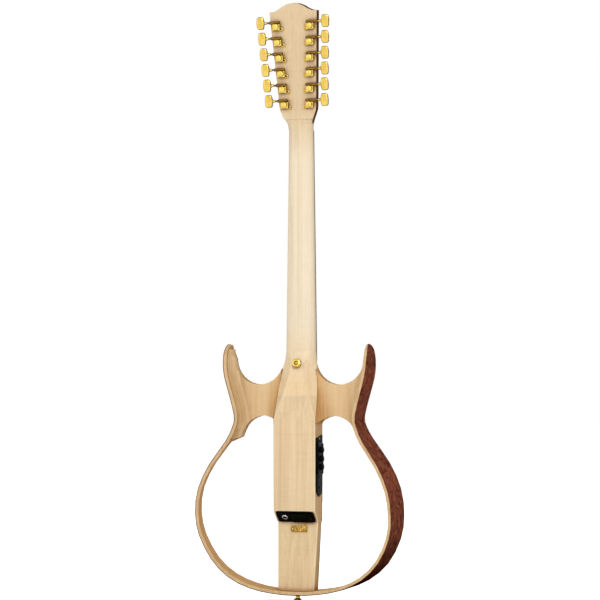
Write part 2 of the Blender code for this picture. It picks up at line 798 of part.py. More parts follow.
def string_bar_corners():
    """Corners of the thin bar that joins the strings in a groove of the nut."""
    middle = NUT_THICKNESS / 2
    reach = STRINGS[0][1] + STRINGS[0][0]
    low = Vector((-reach, STRING_Y_NUT - STRING_BAR - 0.0004, middle - STRING_BAR / 2))
    return low, Vector((reach, STRING_Y_NUT - 0.00003, middle + STRING_BAR / 2))


def post_for(index):
    """Side and place of the post that holds a string, outer strings on the lowest posts."""
    per_side = len(STRINGS) // 2
    if index < per_side:
        return TUNERS[index]
    return TUNERS[per_side + (len(STRINGS) - 1 - index)]


def pin_x(index):
    """Place across of the bridge pin that holds a string."""
    course = index // 2
    middle = (len(STRING_RADII) - 1) / 2 - course
    return middle * COURSE_SPACING_SADDLE + (0.5 - index % 2) * PIN_PAIR_GAP


def string_route(index):
    """Bridge pin, saddle, nut and the point where the string meets its winding."""
    radius, x_nut, x_saddle = STRINGS[index]
    side, x_post, z_post = post_for(index)
    pin_z = PIN_ROWS[index % 2]
    leave = Vector((x_nut, STRING_Y_NUT, NUT_THICKNESS))
    start = HEAD.inverted() @ leave
    to_post = Vector((x_post - start.x, z_post - start.z))
    spread = side * math.asin((WIND_RADIUS + radius + RUNNING_GAP) / to_post.length)
    run = to_post.length * math.cos(spread)
    heading = Matrix.Rotation(spread, 2) @ to_post.normalized()
    end = HEAD @ Vector((start.x + heading.x * run, WIND_HEIGHT, start.z + heading.y * run))
    return [
        Vector((pin_x(index), BRIDGE_THICKNESS + 2 * GAP + radius, pin_z + PIN_HEAD_RADIUS + radius + GAP)),
        Vector((x_saddle, STRING_Y_SADDLE, -SCALE_LENGTH)),
        leave,
        end]


def tube(points, radius, resolution=0):
    curve = bpy.data.curves.new("tube", "CURVE")
    curve.dimensions = "3D"
    curve.bevel_depth = radius
    curve.bevel_resolution = resolution
    curve.use_fill_caps = True
    spline = curve.splines.new("POLY")
    spline.points.add(len(points) - 1)
    for point, place in zip(spline.points, points):
        point.co = (*place, 1.0)
    mesh = baked(cutter("working", curve))
    shape = bmesh.new()
    shape.from_mesh(mesh)
    bmesh.ops.remove_doubles(shape, verts=shape.verts, dist=0.000002)
    return finished(shape)


def add_strings():
    """The twelve strings, held to each other by a bar in the nut."""
    tubes = [
        (tube(string_route(index), radius), Matrix.Identity(4)) for index, (radius, _, _) in enumerate(STRINGS)]
    part("strings", combined(block(*string_bar_corners()), adds=[merged(tubes)]), "steel")


# Tuners

def post_mesh():
    """String post with its winding, from inside the housing to the tip; local +Y is up the post."""
    foot = HEAD_BACK - HOUSING_HEIGHT * 0.6
    tip = POST_HEIGHT
    low, high = WIND_HEIGHT - 0.0011, WIND_HEIGHT + 0.0011
    profile = (
        (0.0, tip), (POST_RADIUS, tip),
        (POST_RADIUS, high), (WIND_RADIUS, high), (WIND_RADIUS, low),
        (POST_RADIUS, low), (POST_RADIUS, foot), (0.0, foot))
    mesh = turned(profile, 8)
    mesh.transform(Matrix.Rotation(-math.pi / 2, 4, "X"))
    return mesh


def bore_radius(radius, sides):
    """Radius of a faceted bore in which a turning piece keeps its clearance."""
    return (radius + RUNNING_GAP) / math.cos(math.pi / sides)


def housing_mesh():
    """Closed gear housing for the bass side, about its post axis, on the headstock's back."""
    back = HEAD_BACK - GAP
    half = HOUSING_SIZE / 2
    rounding = 0.0018
    corners = []
    for sx, sz in ((1, 1), (-1, 1), (-1, -1), (1, -1)):
        first, second = (half, half - rounding), (half - rounding, half)
        if sx * sz < 0:
            first, second = second, first
        corners += [(sx * first[0], sz * first[1]), (sx * second[0], sz * second[1])]
    base = facing_back(corners, back, back - HOUSING_HEIGHT)
    cap = rod(CAP_RADIUS, (0, back - HOUSING_HEIGHT + 0.001, 0),
              (0, back - HOUSING_HEIGHT - CAP_HEIGHT, 0), 8, CAP_RADIUS - 0.0014)
    lug_x, lug_z = -LUG_OFFSET[0], -LUG_OFFSET[1]
    lug = rod(LUG_RADIUS, (lug_x, back, lug_z), (lug_x, back - LUG_THICKNESS, lug_z), 6)
    axis_y = back - WORM_HEIGHT
    barrel = rod(WORM_BARREL_RADIUS, (0.002, axis_y, WORM_OFFSET), (WORM_BARREL_REACH, axis_y, WORM_OFFSET), 6)
    bore = rod(bore_radius(SHAFT_RADIUS, 6), (0.001, axis_y, WORM_OFFSET),
               (WORM_BARREL_REACH + 0.01, axis_y, WORM_OFFSET), 6)
    bushing = rod(BUSHING_RADIUS, (0, back - 0.001, 0), (0, GAP + 0.0004, 0), 6)
    nut = rod(BUSHING_FLANGE_RADIUS, (0, GAP, 0), (0, GAP + BUSHING_FLANGE, 0), 6)
    return combined(base, adds=[lug, cap, barrel, bushing, nut], cuts=[bore])


def button_outline():
    """Egg-ended octagon in the button's plane, centred."""
    half_x, half_z = BUTTON_SIZE[0] / 2, BUTTON_SIZE[1] / 2
    right = ((0.45, 1.0), (0.90, 0.70), (1.0, 0.0), (0.90, -0.70), (0.45, -1.0))
    points = [(half_x * x, half_z * z) for x, z in right]
    return points + [(-x, z) for x, z in reversed(points)]


def button_mesh():
    """Button with its worm shaft, about the shaft's axis; local +X is outward."""
    grip = facing_back(button_outline(), BUTTON_THICKNESS / 2, -BUTTON_THICKNESS / 2)
    grip.transform(Matrix.Translation((BUTTON_REACH, 0, 0)))
    grip = bevelled(grip, 0.0016, 1, 60.0)
    inner = BUTTON_REACH - BUTTON_SIZE[0] / 2
    shaft = rod(SHAFT_RADIUS, (0.001 + RUNNING_GAP, 0, 0), (BUTTON_REACH, 0, 0), 8)
    collar = rod(SHAFT_RADIUS + 0.0012, (inner - 0.0030, 0, 0), (inner + 0.0020, 0, 0), 6)
    return combined(grip, adds=[collar, shaft])


def add_tuners():
    posts, housing, button = post_mesh(), housing_mesh(), button_mesh()
    flip = Matrix.Diagonal((-1, 1, 1, 1))
    shaft_y = HEAD_BACK - GAP - WORM_HEIGHT
    for number, (side, x, z) in enumerate(TUNERS, start=1):
        turn = Matrix.Identity(4) if side > 0 else flip
        axis = HEAD @ Matrix.Translation((x, shaft_y, z + WORM_OFFSET))
        part(f"tuner_button_{number:02d}", merged([(button, turn)]), "gold", axis)
        part(f"tuner_post_{number:02d}", posts.copy(), "gold", HEAD @ Matrix.Translation((x, 0, z)))
    sides = ((1, Matrix.Identity(4), "tuner_housings_bass"), (-1, flip, "tuner_housings_treble"))
    for side, turn, name in sides:
        pieces = [(housing, Matrix.Translation((x, 0, z)) @ turn) for hand, x, z in TUNERS if hand == side]
        row = part(name, merged(pieces), "gold", HEAD)
        fuse(row, cutter(name + "_rail", rail_mesh(side), HEAD))
        foot = HEAD_BACK - HOUSING_HEIGHT * 0.6 - GAP
        socket = rod(bore_radius(POST_RADIUS, 6), (0, 0.02, 0), (0, foot, 0), 6)
        sockets = [(socket, Matrix.Translation((x, 0, z))) for hand, x, z in TUNERS if hand == side]
        cut(row, cutter(name + "_sockets", merged(sockets), HEAD))


# Rim

def rim_path():
    """Smooth stations of the bass half of the rim, from the horn tip to the tail."""
    first = [2 * a - b for a, b in zip(RIM_STATIONS[0], RIM_STATIONS[1])]
    x, z, flare, depth, wall = RIM_STATIONS[-2]
    return smooth_between([first, *RIM_STATIONS, (-x, z, flare, depth, wall)], RIM_STEPS)


def rim_normals(path):
    """Outward unit normals of the path in XZ."""
    normals = []
    for i in range(len(path)):
        before, after = path[max(i - 1, 0)], path[min(i + 1, len(path) - 1)]
        tangent = Vector((after[0] - before[0], after[1] - before[1])).normalized()
        normals.append(Vector((-tangent.y, tangent.x)))
    normals[-1] = Vector((0.0, -1.0))
    return normals


RIM_PATH = rim_path()
RIM_NORMALS = rim_normals(RIM_PATH)


def rim_point(index, offset, share):
    """A point inward from the rim's outer face, from the front edge at share 0 to the back edge at 1."""
    x, z, flare, depth, _ = RIM_PATH[index]
    place = Vector((x, z)) + RIM_NORMALS[index] * (flare * (1 - share) - offset)
    return (place.x, -depth * share, place.y)


def skin_rings():
    """Rings of the veneer on the rim's outer face."""
    corners = ((0.0, 0), (0.0, 1), (VENEER_SKIN, 1), (VENEER_SKIN, 0))
    return [[rim_point(index, *corner) for corner in corners] for index in range(len(RIM_PATH))]


def clearance_rings(over=0.25):
    """Rings of the room that the rim needs, from its inner face outward."""
    rings = []
    for index, (_, _, _, depth, wall) in enumerate(RIM_PATH):
        ease = EDGE_EASE / depth
        deep = wall + GAP
        corners = (
            (-CLEARANCE_REACH, -over), (-CLEARANCE_REACH, 1 + over), (deep, 1 + over), (deep, 1 - ease),
            (deep, ease), (deep, -over))
        rings.append([rim_point(index, *corner) for corner in corners])
    return rings


def rim_rings():
    """Rings of the rim's wood, with its inner edges eased."""
    rings = []
    outer = VENEER_SKIN + GAP
    for index, (_, _, _, depth, wall) in enumerate(RIM_PATH):
        ease = EDGE_EASE / depth
        edge = wall - EDGE_EASE
        corners = ((outer, 0), (outer, 1), (edge, 1), (wall, 1 - ease), (wall, ease), (edge, 0))
        rings.append([rim_point(index, offset, share) for offset, share in corners])
    rings[-1] = [(GAP / 2, y, z) for _, y, z in rings[-1]]
    return rings


def treble_x(x, z):
    """Place across on the treble side of a point of the bass side."""
    low, high = SWELL_HEIGHTS
    if x < SWELL_FROM_X or not low < z < high:
        return -x
    return -x - TREBLE_SWELL * math.sin(math.pi * (z - low) / (high - low)) ** 2


def flipped(mesh):
    """The treble side's copy of a mesh of the bass side."""
    made = merged([(mesh, Matrix.Diagonal((-1, 1, 1, 1)))])
    for vertex in made.vertices:
        vertex.co.x = treble_x(-vertex.co.x, vertex.co.z)
    return made


def both_sides(name, mesh):
    """The same guide solid on the bass and the treble side."""
    return [cutter(name + "_bass", mesh), cutter(name + "_treble", flipped(mesh))]


def add_guides():
    """Guide solids that several pieces share."""
    cx, cz = CUTAWAY_CENTRE
    arc = [
        (cx + CUTAWAY_RADIUS * math.cos(a), cz + CUTAWAY_RADIUS * math.sin(a))
        for a in (math.radians(180 + 180 * i / 16) for i in range(17))]
    top = cz + 2 * CUTAWAY_RADIUS
    cutaway = [*arc, *HORN_EDGE, (HORN_EDGE[-1][0], top), (arc[0][0], top)]
    U_CUTTERS.extend(both_sides("cutaway", facing_back(cutaway, *CUT_FACES)))
    low, far = BOX_END_Z - 0.014, 0.20
    opening = smooth_path(OPENING_ARC, 2)
    opening += [OPENING_CORNER, (far, OPENING_CORNER[1]), (far, low), (BOX_HALF_WIDTH, low)]
    OPENING_CUTTERS.extend(both_sides("opening", facing_back(opening, *CUT_FACES)))
    clearance = loft(clearance_rings())
    RIM_CLEARANCES.extend(both_sides("rim_clearance", clearance))


def tip_mesh():
    """Room in front of the horn tips, above their rounded front corner."""
    low, high = TIP_HEIGHTS
    curve = [
        (-TIP_DEPTH * (1 - math.cos(a)), mix(low, high, math.sin(a)))
        for a in (math.radians(90 * i / 4) for i in range(5))]
    reach = RIM_STATIONS[0][0] * 1.5
    return side_profile([(0.02, low), *curve, (-TIP_DEPTH, high + 0.01), (0.02, high + 0.01)], -reach, reach)


def add_rims():
    rim = loft(rim_rings())
    skin = skin_rings()
    skin += [[(treble_x(x, z), y, z) for x, y, z in ring] for ring in reversed(skin[:-1])]
    tips = cutter("horn_tips", tip_mesh())
    hole = strap_screw_hole()
    for name, mesh in (("rim_bass", rim), ("rim_treble", flipped(rim))):
        cut(part(name, mesh, "maple"), tips, cutter(name + "_strap_hole", hole.copy(), tail_strap_frame()))
    veneer = part("rim_veneer", loft(skin), "brown_veneer")
    cut(veneer, tips, cutter("veneer_strap_hole", hole.copy(), tail_strap_frame()))


# Wings and top

def rim_inner(z, share):
    """Half width and depth of the rim's inner face at a height."""
    rows = []
    for index, (_, station_z, _, depth, wall) in enumerate(RIM_PATH):
        if station_z > BOX_END_Z:
            x, _, height = rim_point(index, wall, share)
            rows.append((height, x, depth))
    return interpolate(rows, z)


def hollow(share):
    """Rise of a concave quarter round, from 1 at share 0 to 0 at share 1."""
    return 1 - math.sqrt(1 - (1 - share) ** 2)


FILLET_SHARES = (0.0, 0.08, 0.28, 0.60, 1.0)


def wing_row(z):
    """Section of the bass wing at a height: flat in front, dished behind up to the box and the rim."""
    half_width, _, ridge, _ = interpolate(HEEL_STATIONS, z)
    inner = half_width + GAP
    rim_front, _ = rim_inner(z, 0.0)
    rim_back, depth = rim_inner(z, 1.0)
    overlap = 0.0030
    rim_rise = depth - RIM_FILLET_DROP - WING_THICKNESS
    box_rise = max(ridge - WING_THICKNESS, 0.0)
    front = -(TOP_THICKNESS + GAP)
    points = [(inner, front), (rim_front + overlap, front)]
    points.append((rim_back + overlap, -(WING_THICKNESS + rim_rise)))
    points += [(rim_back - s * RIM_FILLET, -(WING_THICKNESS + rim_rise * hollow(s))) for s in FILLET_SHARES]
    points += [
        (inner + s * BOX_FILLET, -(WING_THICKNESS + box_rise * hollow(s))) for s in reversed(FILLET_SHARES)]
    return [(x, y, z) for x, y in points]


def add_wings():
    rows = 12
    mesh = loft([wing_row(mix(WING_TOP_Z, WING_END_Z, i / (rows - 1))) for i in range(rows)])
    for k, name in enumerate(("wing_bass", "wing_treble")):
        wing = part(name, mesh if k == 0 else flipped(mesh), "maple")
        cut(wing, RIM_CLEARANCES[k], U_CUTTERS[k], OPENING_CUTTERS[k])


def add_top():
    """Thin top over wings and box, notched for the fingerboard, with its strip down the tail plank."""
    reach = 0.138
    notch = neck_half_width(BOARD_END_Z) + GAP
    inside = CUTAWAY_CENTRE[0]
    outline = [
        (reach, BOX_END_Z), (reach, WING_TOP_Z), (inside, WING_TOP_Z), (inside, LEDGE_TOP_Z),
        (notch, LEDGE_TOP_Z), (notch, BOARD_END_Z - GAP)]
    sheet = facing_back([*outline, *mirrored(reversed(outline))], 0.0, -TOP_THICKNESS)
    top = part("top_plate", sheet, "brown_veneer")
    cut(top, *U_CUTTERS, *OPENING_CUTTERS, *RIM_CLEARANCES)
    cut(top, cutter("top_pin_holes", pin_holes()))
    facing = part("tail_facing", plank_mesh(0.0, TOP_THICKNESS), "brown_veneer")
    cut(facing, *RIM_CLEARANCES)


# Body box and tail plank

def slant_z(y):
    """Height of the slanted end face at a depth."""
    share = (y + BOX_DEPTH) / (BOX_SLANT_FOOT_Y + BOX_DEPTH)
    return mix(BOX_SLANT_Z, BOX_END_Z, share)


def box_ring(z):
    half_width, facet, side, back = interpolate(HEEL_STATIONS, z)
    front = TOP_THICKNESS + GAP
    return mirror_box([(half_width, -front), (half_width, -side), (facet, -back)], z)


def mirror_box(half, z):
    return [(x, y, z) for x, y in half] + [(-x, y, z) for x, y in reversed(half)]


def add_box():
    shoulder = HEEL_STATIONS[-1][0]
    rings = [box_ring(z) for z in (HEEL_JOINT_Z - GAP, shoulder, BOX_END_Z)]
    box = part("body_box", loft(rings), "maple")
    reach = 0.06
    cut(box, cutter("slanted_end", block((-reach, -reach, 0.0), (reach, reach, reach)), END_FACE))
    wall_up = BOX_WALL / -SLANT_NORMAL.z
    floor_y = BOX_SLANT_FOOT_Y - (CAVITY_END_Z - wall_up - BOX_END_Z) / (BOX_SLANT_Z - BOX_END_Z) * (
        BOX_DEPTH + BOX_SLANT_FOOT_Y)
    (top_z, top_y), (shoulder_z, back_y) = CAVITY_TOP, CAVITY_SHOULDER
    cavity = [
        (0.01, top_z), (top_y, top_z), (back_y, shoulder_z), (back_y, slant_z(back_y) + wall_up),
        (floor_y, CAVITY_END_Z), (0.01, CAVITY_END_Z)]
    inside = BOX_HALF_WIDTH - BOX_WALL
    cut(box, cutter("cavity", side_profile(cavity, -inside, inside)))
    width, height = PANEL_CUT_HALF
    cut(box, cutter("panel_opening", block((-width, -height, -0.030), (width, height, 0.01)), END_FACE))
    room = GAP + 0.0002
    cut(box, cutter("preamp_opening", block(
        (inside - 0.01, PREAMP_BACK_Y + PREAMP_LIP / 2 - room, BOSS_BOTTOM_Z - room),
        (BOX_HALF_WIDTH + 0.01, PREAMP_FRONT_Y - PREAMP_LIP / 2 + room, PREAMP_TOP_Z - PREAMP_LIP + room))))
    cut(box, cutter("neck_mortise", block(
        (-TENON_HALF_WIDTH - GAP, -0.024 - GAP, HEEL_JOINT_Z - TENON_LENGTH - GAP),
        (TENON_HALF_WIDTH + GAP, -0.008 + GAP, HEEL_JOINT_Z + 0.01))))
    cut(box, cutter("plank_mortise", block(
        (-TENON_HALF_WIDTH - GAP, -0.0150 - GAP, BOX_END_Z - 0.01),
        (TENON_HALF_WIDTH + GAP, -0.0070 + GAP, BOX_END_Z + 0.0080 + GAP))))


def plank_value(pair, z):
    return mix(pair[0], pair[1], (z - BOX_END_Z) / (PLANK_END_Z - BOX_END_Z))


def plank_mesh(front_inset, thickness=None):
    """Tapered plank from the box to beyond the rim, or a layer of it below the front."""
    rings = []
    for z in (BOX_END_Z - GAP, PLANK_END_Z):
        half = plank_value(PLANK_HALF_WIDTHS, z)
        front = plank_value(PLANK_FRONT, z) - front_inset
        back = plank_value(PLANK_BACK, z) if thickness is None else front - thickness
        section = [(half, front), (half, back)]
        if thickness is None:
            section[1:] = [(half, back + EDGE_EASE), (half - EDGE_EASE, back)]
        rings.append(mirror_box(section, z))
    return loft(rings)


def add_plank():
    plank = part("tail_plank", plank_mesh(TOP_THICKNESS + GAP), "maple")
    tenon = block(
        (-TENON_HALF_WIDTH, -0.0150, BOX_END_Z - 0.01), (TENON_HALF_WIDTH, -0.0070, BOX_END_Z + 0.0080))
    fuse(plank, cutter("plank_tenon", tenon))
    cut(plank, *RIM_CLEARANCES)
    cut(plank, cutter("plank_strap_hole", strap_screw_hole(), tail_strap_frame()))


# Bridge

def pin_places():
    return [(pin_x(index), PIN_ROWS[index % 2]) for index in range(len(STRINGS))]


def pin_holes():
    hole = rod(PIN_RADIUS + GAP, (0, -0.02, 0), (0, 0.02, 0), 6)
    return merged([(hole, Matrix.Translation((x, 0, z))) for x, z in pin_places()])


def add_bridge():
    end_z = BRIDGE_TOP_Z - BRIDGE_LENGTH
    nose = 0.0030
    profile = [
        (GAP, BRIDGE_TOP_Z), (BRIDGE_THICKNESS - nose, BRIDGE_TOP_Z), (BRIDGE_THICKNESS, BRIDGE_TOP_Z - nose),
        (BRIDGE_THICKNESS, end_z + nose), (BRIDGE_THICKNESS - nose, end_z), (GAP, end_z)]
    bridge = part("bridge", side_profile(profile, -BRIDGE_HALF_WIDTH, BRIDGE_HALF_WIDTH), "rosewood")
    half = SADDLE_THICKNESS / 2
    reach = BRIDGE_HALF_WIDTH - 0.0035
    floor = BRIDGE_THICKNESS - SADDLE_SLOT_DEPTH
    cut(bridge, cutter("saddle_slot", block(
        (-reach - GAP, floor, -SCALE_LENGTH - half - GAP), (reach + GAP, 0.02, -SCALE_LENGTH + half + GAP))))
    cut(bridge, cutter("bridge_pin_holes", pin_holes()))
    pickup_top = floor + GAP + PICKUP_THICKNESS
    part("pickup_strip", block(
        (-reach, floor + GAP, -SCALE_LENGTH - half), (reach, pickup_top, -SCALE_LENGTH + half)), "steel")
    top = STRING_Y_SADDLE - STRINGS[0][0] - GAP
    ease = 0.0008
    crown = [
        (pickup_top + GAP, -half), (top - ease, -half), (top, -half + ease),
        (top, half - ease), (top - ease, half), (pickup_top + GAP, half)]
    part("saddle", side_profile(crown, -reach, reach), "bone", Matrix.Translation((0, 0, -SCALE_LENGTH)))


def add_pins():
    """Bridge pins, joined by a bar inside the box."""
    head = PIN_HEAD_HEIGHT
    profile = (
        (0.0, head), (PIN_HEAD_RADIUS, head * 0.4), (PIN_HEAD_RADIUS, GAP),
        (PIN_RADIUS, GAP), (PIN_RADIUS * 0.8, -PIN_LENGTH), (0.0, -PIN_LENGTH))
    pin = turned(profile, 6)
    pin.transform(Matrix.Rotation(-math.pi / 2, 4, "X"))
    foot = BRIDGE_THICKNESS - PIN_LENGTH
    low = foot - 0.0004
    bar = block(
        (-PIN_BAR_HALF_LENGTH, low, PIN_ROWS[1] - PIN_BAR_EDGE),
        (PIN_BAR_HALF_LENGTH, low + PIN_BAR_THICKNESS, PIN_ROWS[0] + PIN_BAR_EDGE))
    pins = merged([(pin, Matrix.Translation((x, BRIDGE_THICKNESS, z))) for x, z in pin_places()])
    part("bridge_pins", combined(bar, adds=[pins]), "bone")


# Strap buttons

def heel_strap_frame():
    """Frame on the heel's back facet: local +Z outward."""
    (z1, _, _, _, y1), (z2, _, _, _, y2) = HEEL_STATIONS[:2]
    outward = Vector((0, z2 - z1, y2 - y1)).normalized()
    back = interpolate(HEEL_STATIONS, HEEL_STRAP_Z)[3]
    return Matrix.Translation(Vector((0, -back, HEEL_STRAP_Z)) + outward * GAP) @ along(outward)


def tail_strap_frame():
    x, z, _, depth, _ = RIM_STATIONS[-1]
    return Matrix.Translation((x, -depth / 2, z - GAP)) @ along((0, 0, -1))


def strap_screw_hole():
    return rod(STRAP_SCREW_RADIUS + GAP, (0, 0, -STRAP_SCREW_LENGTH - 2 * GAP), (0, 0, 0.01), 8)


def strap_button_mesh():
    """Button and its screw as one turned piece, with a dimple for the screw's head."""
    height, recess = STRAP_HEIGHT, 0.0012
    profile = (
        (0.0, height - recess), (STRAP_SCREW_RADIUS + 0.0012, height - recess),
        (STRAP_SCREW_RADIUS + 0.0018, height), (STRAP_HEAD_RADIUS - 0.0014, height),
        (STRAP_HEAD_RADIUS, height - 0.0014), (STRAP_HEAD_RADIUS - 0.0008, height - 0.0034),
        (STRAP_NECK_RADIUS, height * 0.5), (STRAP_BASE_RADIUS, 0.0014), (STRAP_BASE_RADIUS, 0.0),
        (STRAP_SCREW_RADIUS, 0.0), (STRAP_SCREW_RADIUS, -STRAP_SCREW_LENGTH * 0.6),
        (STRAP_SCREW_RADIUS * 0.4, -STRAP_SCREW_LENGTH), (0.0, -STRAP_SCREW_LENGTH))
    return turned(profile, 10)


def add_strap_buttons():
    for name, frame in (("strap_button_heel", heel_strap_frame()), ("strap_button_tail", tail_strap_frame())):
        part(name, strap_button_mesh(), "gold", frame)


# Preamp

def preamp_outline():
    """Flange in YZ: square above, round below."""
    middle = (PREAMP_BACK_Y + PREAMP_FRONT_Y) / 2
    radius = (PREAMP_FRONT_Y - PREAMP_BACK_Y) / 2
    points = [(PREAMP_FRONT_Y, PREAMP_TOP_Z), (PREAMP_BACK_Y, PREAMP_TOP_Z)]
    for i in range(9):
        a = math.radians(180 + 180 * i / 8)
        points.append((middle + radius * math.cos(a), PREAMP_BOTTOM_Z + radius + radius * math.sin(a)))
    return points


def add_preamp():
    seat = BOX_HALF_WIDTH + GAP
    face = seat + PREAMP_FLANGE
    raised = face + PREAMP_PANEL_HEIGHT
    low_y, high_y = PREAMP_BACK_Y + PREAMP_LIP / 2, PREAMP_FRONT_Y - PREAMP_LIP / 2
    middle = (PREAMP_BACK_Y + PREAMP_FRONT_Y) / 2
    flange = side_profile(preamp_outline(), seat, face)
    body = block(
        (BOX_HALF_WIDTH - PREAMP_INSET, low_y, PREAMP_BODY_BOTTOM_Z),
        (face - 0.0005, high_y, PREAMP_TOP_Z - PREAMP_LIP))
    boss = block(
        (BOX_HALF_WIDTH - BOSS_INSET, low_y, BOSS_BOTTOM_Z),
        (face - 0.0006, high_y, PREAMP_BODY_BOTTOM_Z + 0.001))
    panel = block(
        (face - 0.001, low_y - 0.0010, PREAMP_PANEL_Z[1]), (raised, high_y + 0.0010, PREAMP_PANEL_Z[0]))
    key_foot = face - KEY_DEPTH - KEY_TRAVEL - RUNNING_GAP
    key_hole = rod(bore_radius(KEY_RADIUS, 8), (key_foot, middle, KEY_Z), (face + 0.01, middle, KEY_Z), 8)
    stems = [
        rod(bore_radius(KNOB_STEM_RADIUS, 8), (raised - 0.0050, middle, z), (raised + 0.01, middle, z), 8)
        for z in KNOB_HEIGHTS]
    part("preamp_housing", combined(body, adds=[boss, flange, panel], cuts=[key_hole, *stems]), "black_plastic")
    for name, z in zip(("volume_knob", "bass_knob", "treble_knob"), KNOB_HEIGHTS):
        low = RUNNING_GAP
        profile = (
            (0.0, KNOB_REACH), (KNOB_RADIUS - 0.0008, KNOB_REACH), (KNOB_RADIUS - 0.0002, KNOB_REACH - 0.0008),
            (KNOB_RADIUS, low), (KNOB_STEM_RADIUS, low), (KNOB_STEM_RADIUS, -0.0045), (0.0, -0.0045))
        place = Matrix.Translation((raised, middle, z)) @ along((1, 0, 0))
        part(name, turned(profile, 12), "grey_plastic", place)
    key = rod(KEY_RADIUS, (-KEY_DEPTH, 0, 0), (KEY_REACH, 0, 0), 8)
    part("preamp_key", key, "grey_plastic", Matrix.Translation((face, middle, KEY_Z)))


# End panel, jack, battery and door

PANEL_TOP = GAP + PANEL_THICKNESS
DOOR_AXIS_OUT = PANEL_TOP + RUNNING_GAP + DOOR_BARREL_RADIUS


def rounded_rectangle(half_x, half_y, corner, steps=3):
    points = []
    for k, (sx, sy) in enumerate(((1, 1), (-1, 1), (-1, -1), (1, -1))):
        for i in range(steps + 1):
            a = math.radians(90 * k + 90 * i / steps)
            points.append((
                sx * (half_x - corner) + corner * math.cos(a), sy * (half_y - corner) + corner * math.sin(a)))
    return points


def well_frame():
    """Frame of the battery well: origin on the end face, local +Z into the box."""
    inward = Vector((0, math.sin(math.radians(WELL_TILT)), math.cos(math.radians(WELL_TILT))))
    across = Vector((1, 0, 0))
    start = END_FACE @ Vector((BATTERY_X, WELL_OFFSET, 0))
    turn = Matrix((across, inward.cross(across), inward)).transposed().to_4x4()
    return Matrix.Translation(start) @ turn


def jack_frame():
    return END_FACE @ Matrix.Translation((JACK_X, 0, 0))


def placed(mesh, matrix):
    mesh.transform(matrix)
    return mesh


def add_end_panel():
    to_face = END_FACE.inverted() @ well_frame()
    room_x, room_y = BATTERY_SIZE[0] / 2 + GAP, BATTERY_SIZE[1] / 2 + GAP
    start = 0.012
    depth = battery_start() + BATTERY_SIZE[2] + 0.0030
    shell = placed(block(
        (-room_x - WELL_WALL, -room_y - WELL_WALL, -start),
        (room_x + WELL_WALL, room_y + WELL_WALL, depth + WELL_WALL)), to_face)
    room = placed(block((-room_x, -room_y, -start - 0.01), (room_x, room_y, depth)), to_face)
    front = block((-0.06, -0.06, PANEL_TOP - 0.0005), (0.06, 0.06, 0.06))
    shell = combined(shell, cuts=[front])
    plate = outline_solid(rounded_rectangle(PANEL_HALF_WIDTH, PANEL_HALF_HEIGHT, PANEL_CORNER), PANEL_THICKNESS)
    plate.transform(Matrix.Translation((0, 0, GAP + PANEL_THICKNESS / 2)))
    jack_hole = rod(JACK_BARREL_RADIUS + GAP, (JACK_X, 0, -0.01), (JACK_X, 0, 0.02), 12)
    mesh = combined(plate, adds=[shell], cuts=[room, jack_hole])
    ears = []
    for side in (1, -1):
        near = BATTERY_X + side * (DOOR_HALF_WIDTH + GAP)
        x_low, x_high = sorted((near, near + side * EAR_WIDTH))
        ears.append(block(
            (x_low, DOOR_AXIS_UP - EAR_RADIUS, PANEL_TOP - 0.0005),
            (x_high, DOOR_AXIS_UP + EAR_RADIUS, DOOR_AXIS_OUT + EAR_RADIUS * 0.8)))
    reach = DOOR_HALF_WIDTH + EAR_WIDTH * 0.75 + GAP
    hinge_bore = rod(
        bore_radius(DOOR_PIN_RADIUS, 8), (BATTERY_X - reach, DOOR_AXIS_UP, DOOR_AXIS_OUT),
        (BATTERY_X + reach, DOOR_AXIS_UP, DOOR_AXIS_OUT), 8)
    mesh = combined(mesh, adds=ears, cuts=[hinge_bore])
    part("end_panel", mesh, "black_plastic", END_FACE)


def battery_start():
    """Distance into the well at which the battery clears the slanted panel."""
    lean = math.tan(math.acos(-(well_frame().col[2].xyz).dot(SLANT_NORMAL)))
    return lean * BATTERY_SIZE[1] / 2 + GAP


def add_battery():
    half_x, half_y, length = BATTERY_SIZE[0] / 2, BATTERY_SIZE[1] / 2, BATTERY_SIZE[2]
    start = battery_start()
    case = bevelled(block((-half_x, -half_y, start), (half_x, half_y, start + length)), 0.0015)
    terminals = [
        rod(0.0028, (side * 0.0063, 0, start + length - 0.001), (side * 0.0063, 0, start + length + 0.0022), 8)
        for side in (1, -1)]
    part("battery", combined(case, adds=terminals), "steel", well_frame())


def add_jack():
    top = PANEL_TOP + GAP
    ring = top + 0.0018
    seat = -GAP
    profile = (
        (JACK_BORE_RADIUS, ring), (JACK_RING_RADIUS - 0.0006, ring), (JACK_RING_RADIUS, top),
        (JACK_BARREL_RADIUS, top), (JACK_BARREL_RADIUS, seat), (JACK_BODY_RADIUS, seat),
        (JACK_BODY_RADIUS, -JACK_DEPTH), (0.0, -JACK_DEPTH), (0.0, -JACK_DEPTH + 0.002),
        (JACK_BORE_RADIUS, -JACK_DEPTH + 0.002), (JACK_BORE_RADIUS, ring))
    part("output_jack", turned(profile, 12), "steel", jack_frame())


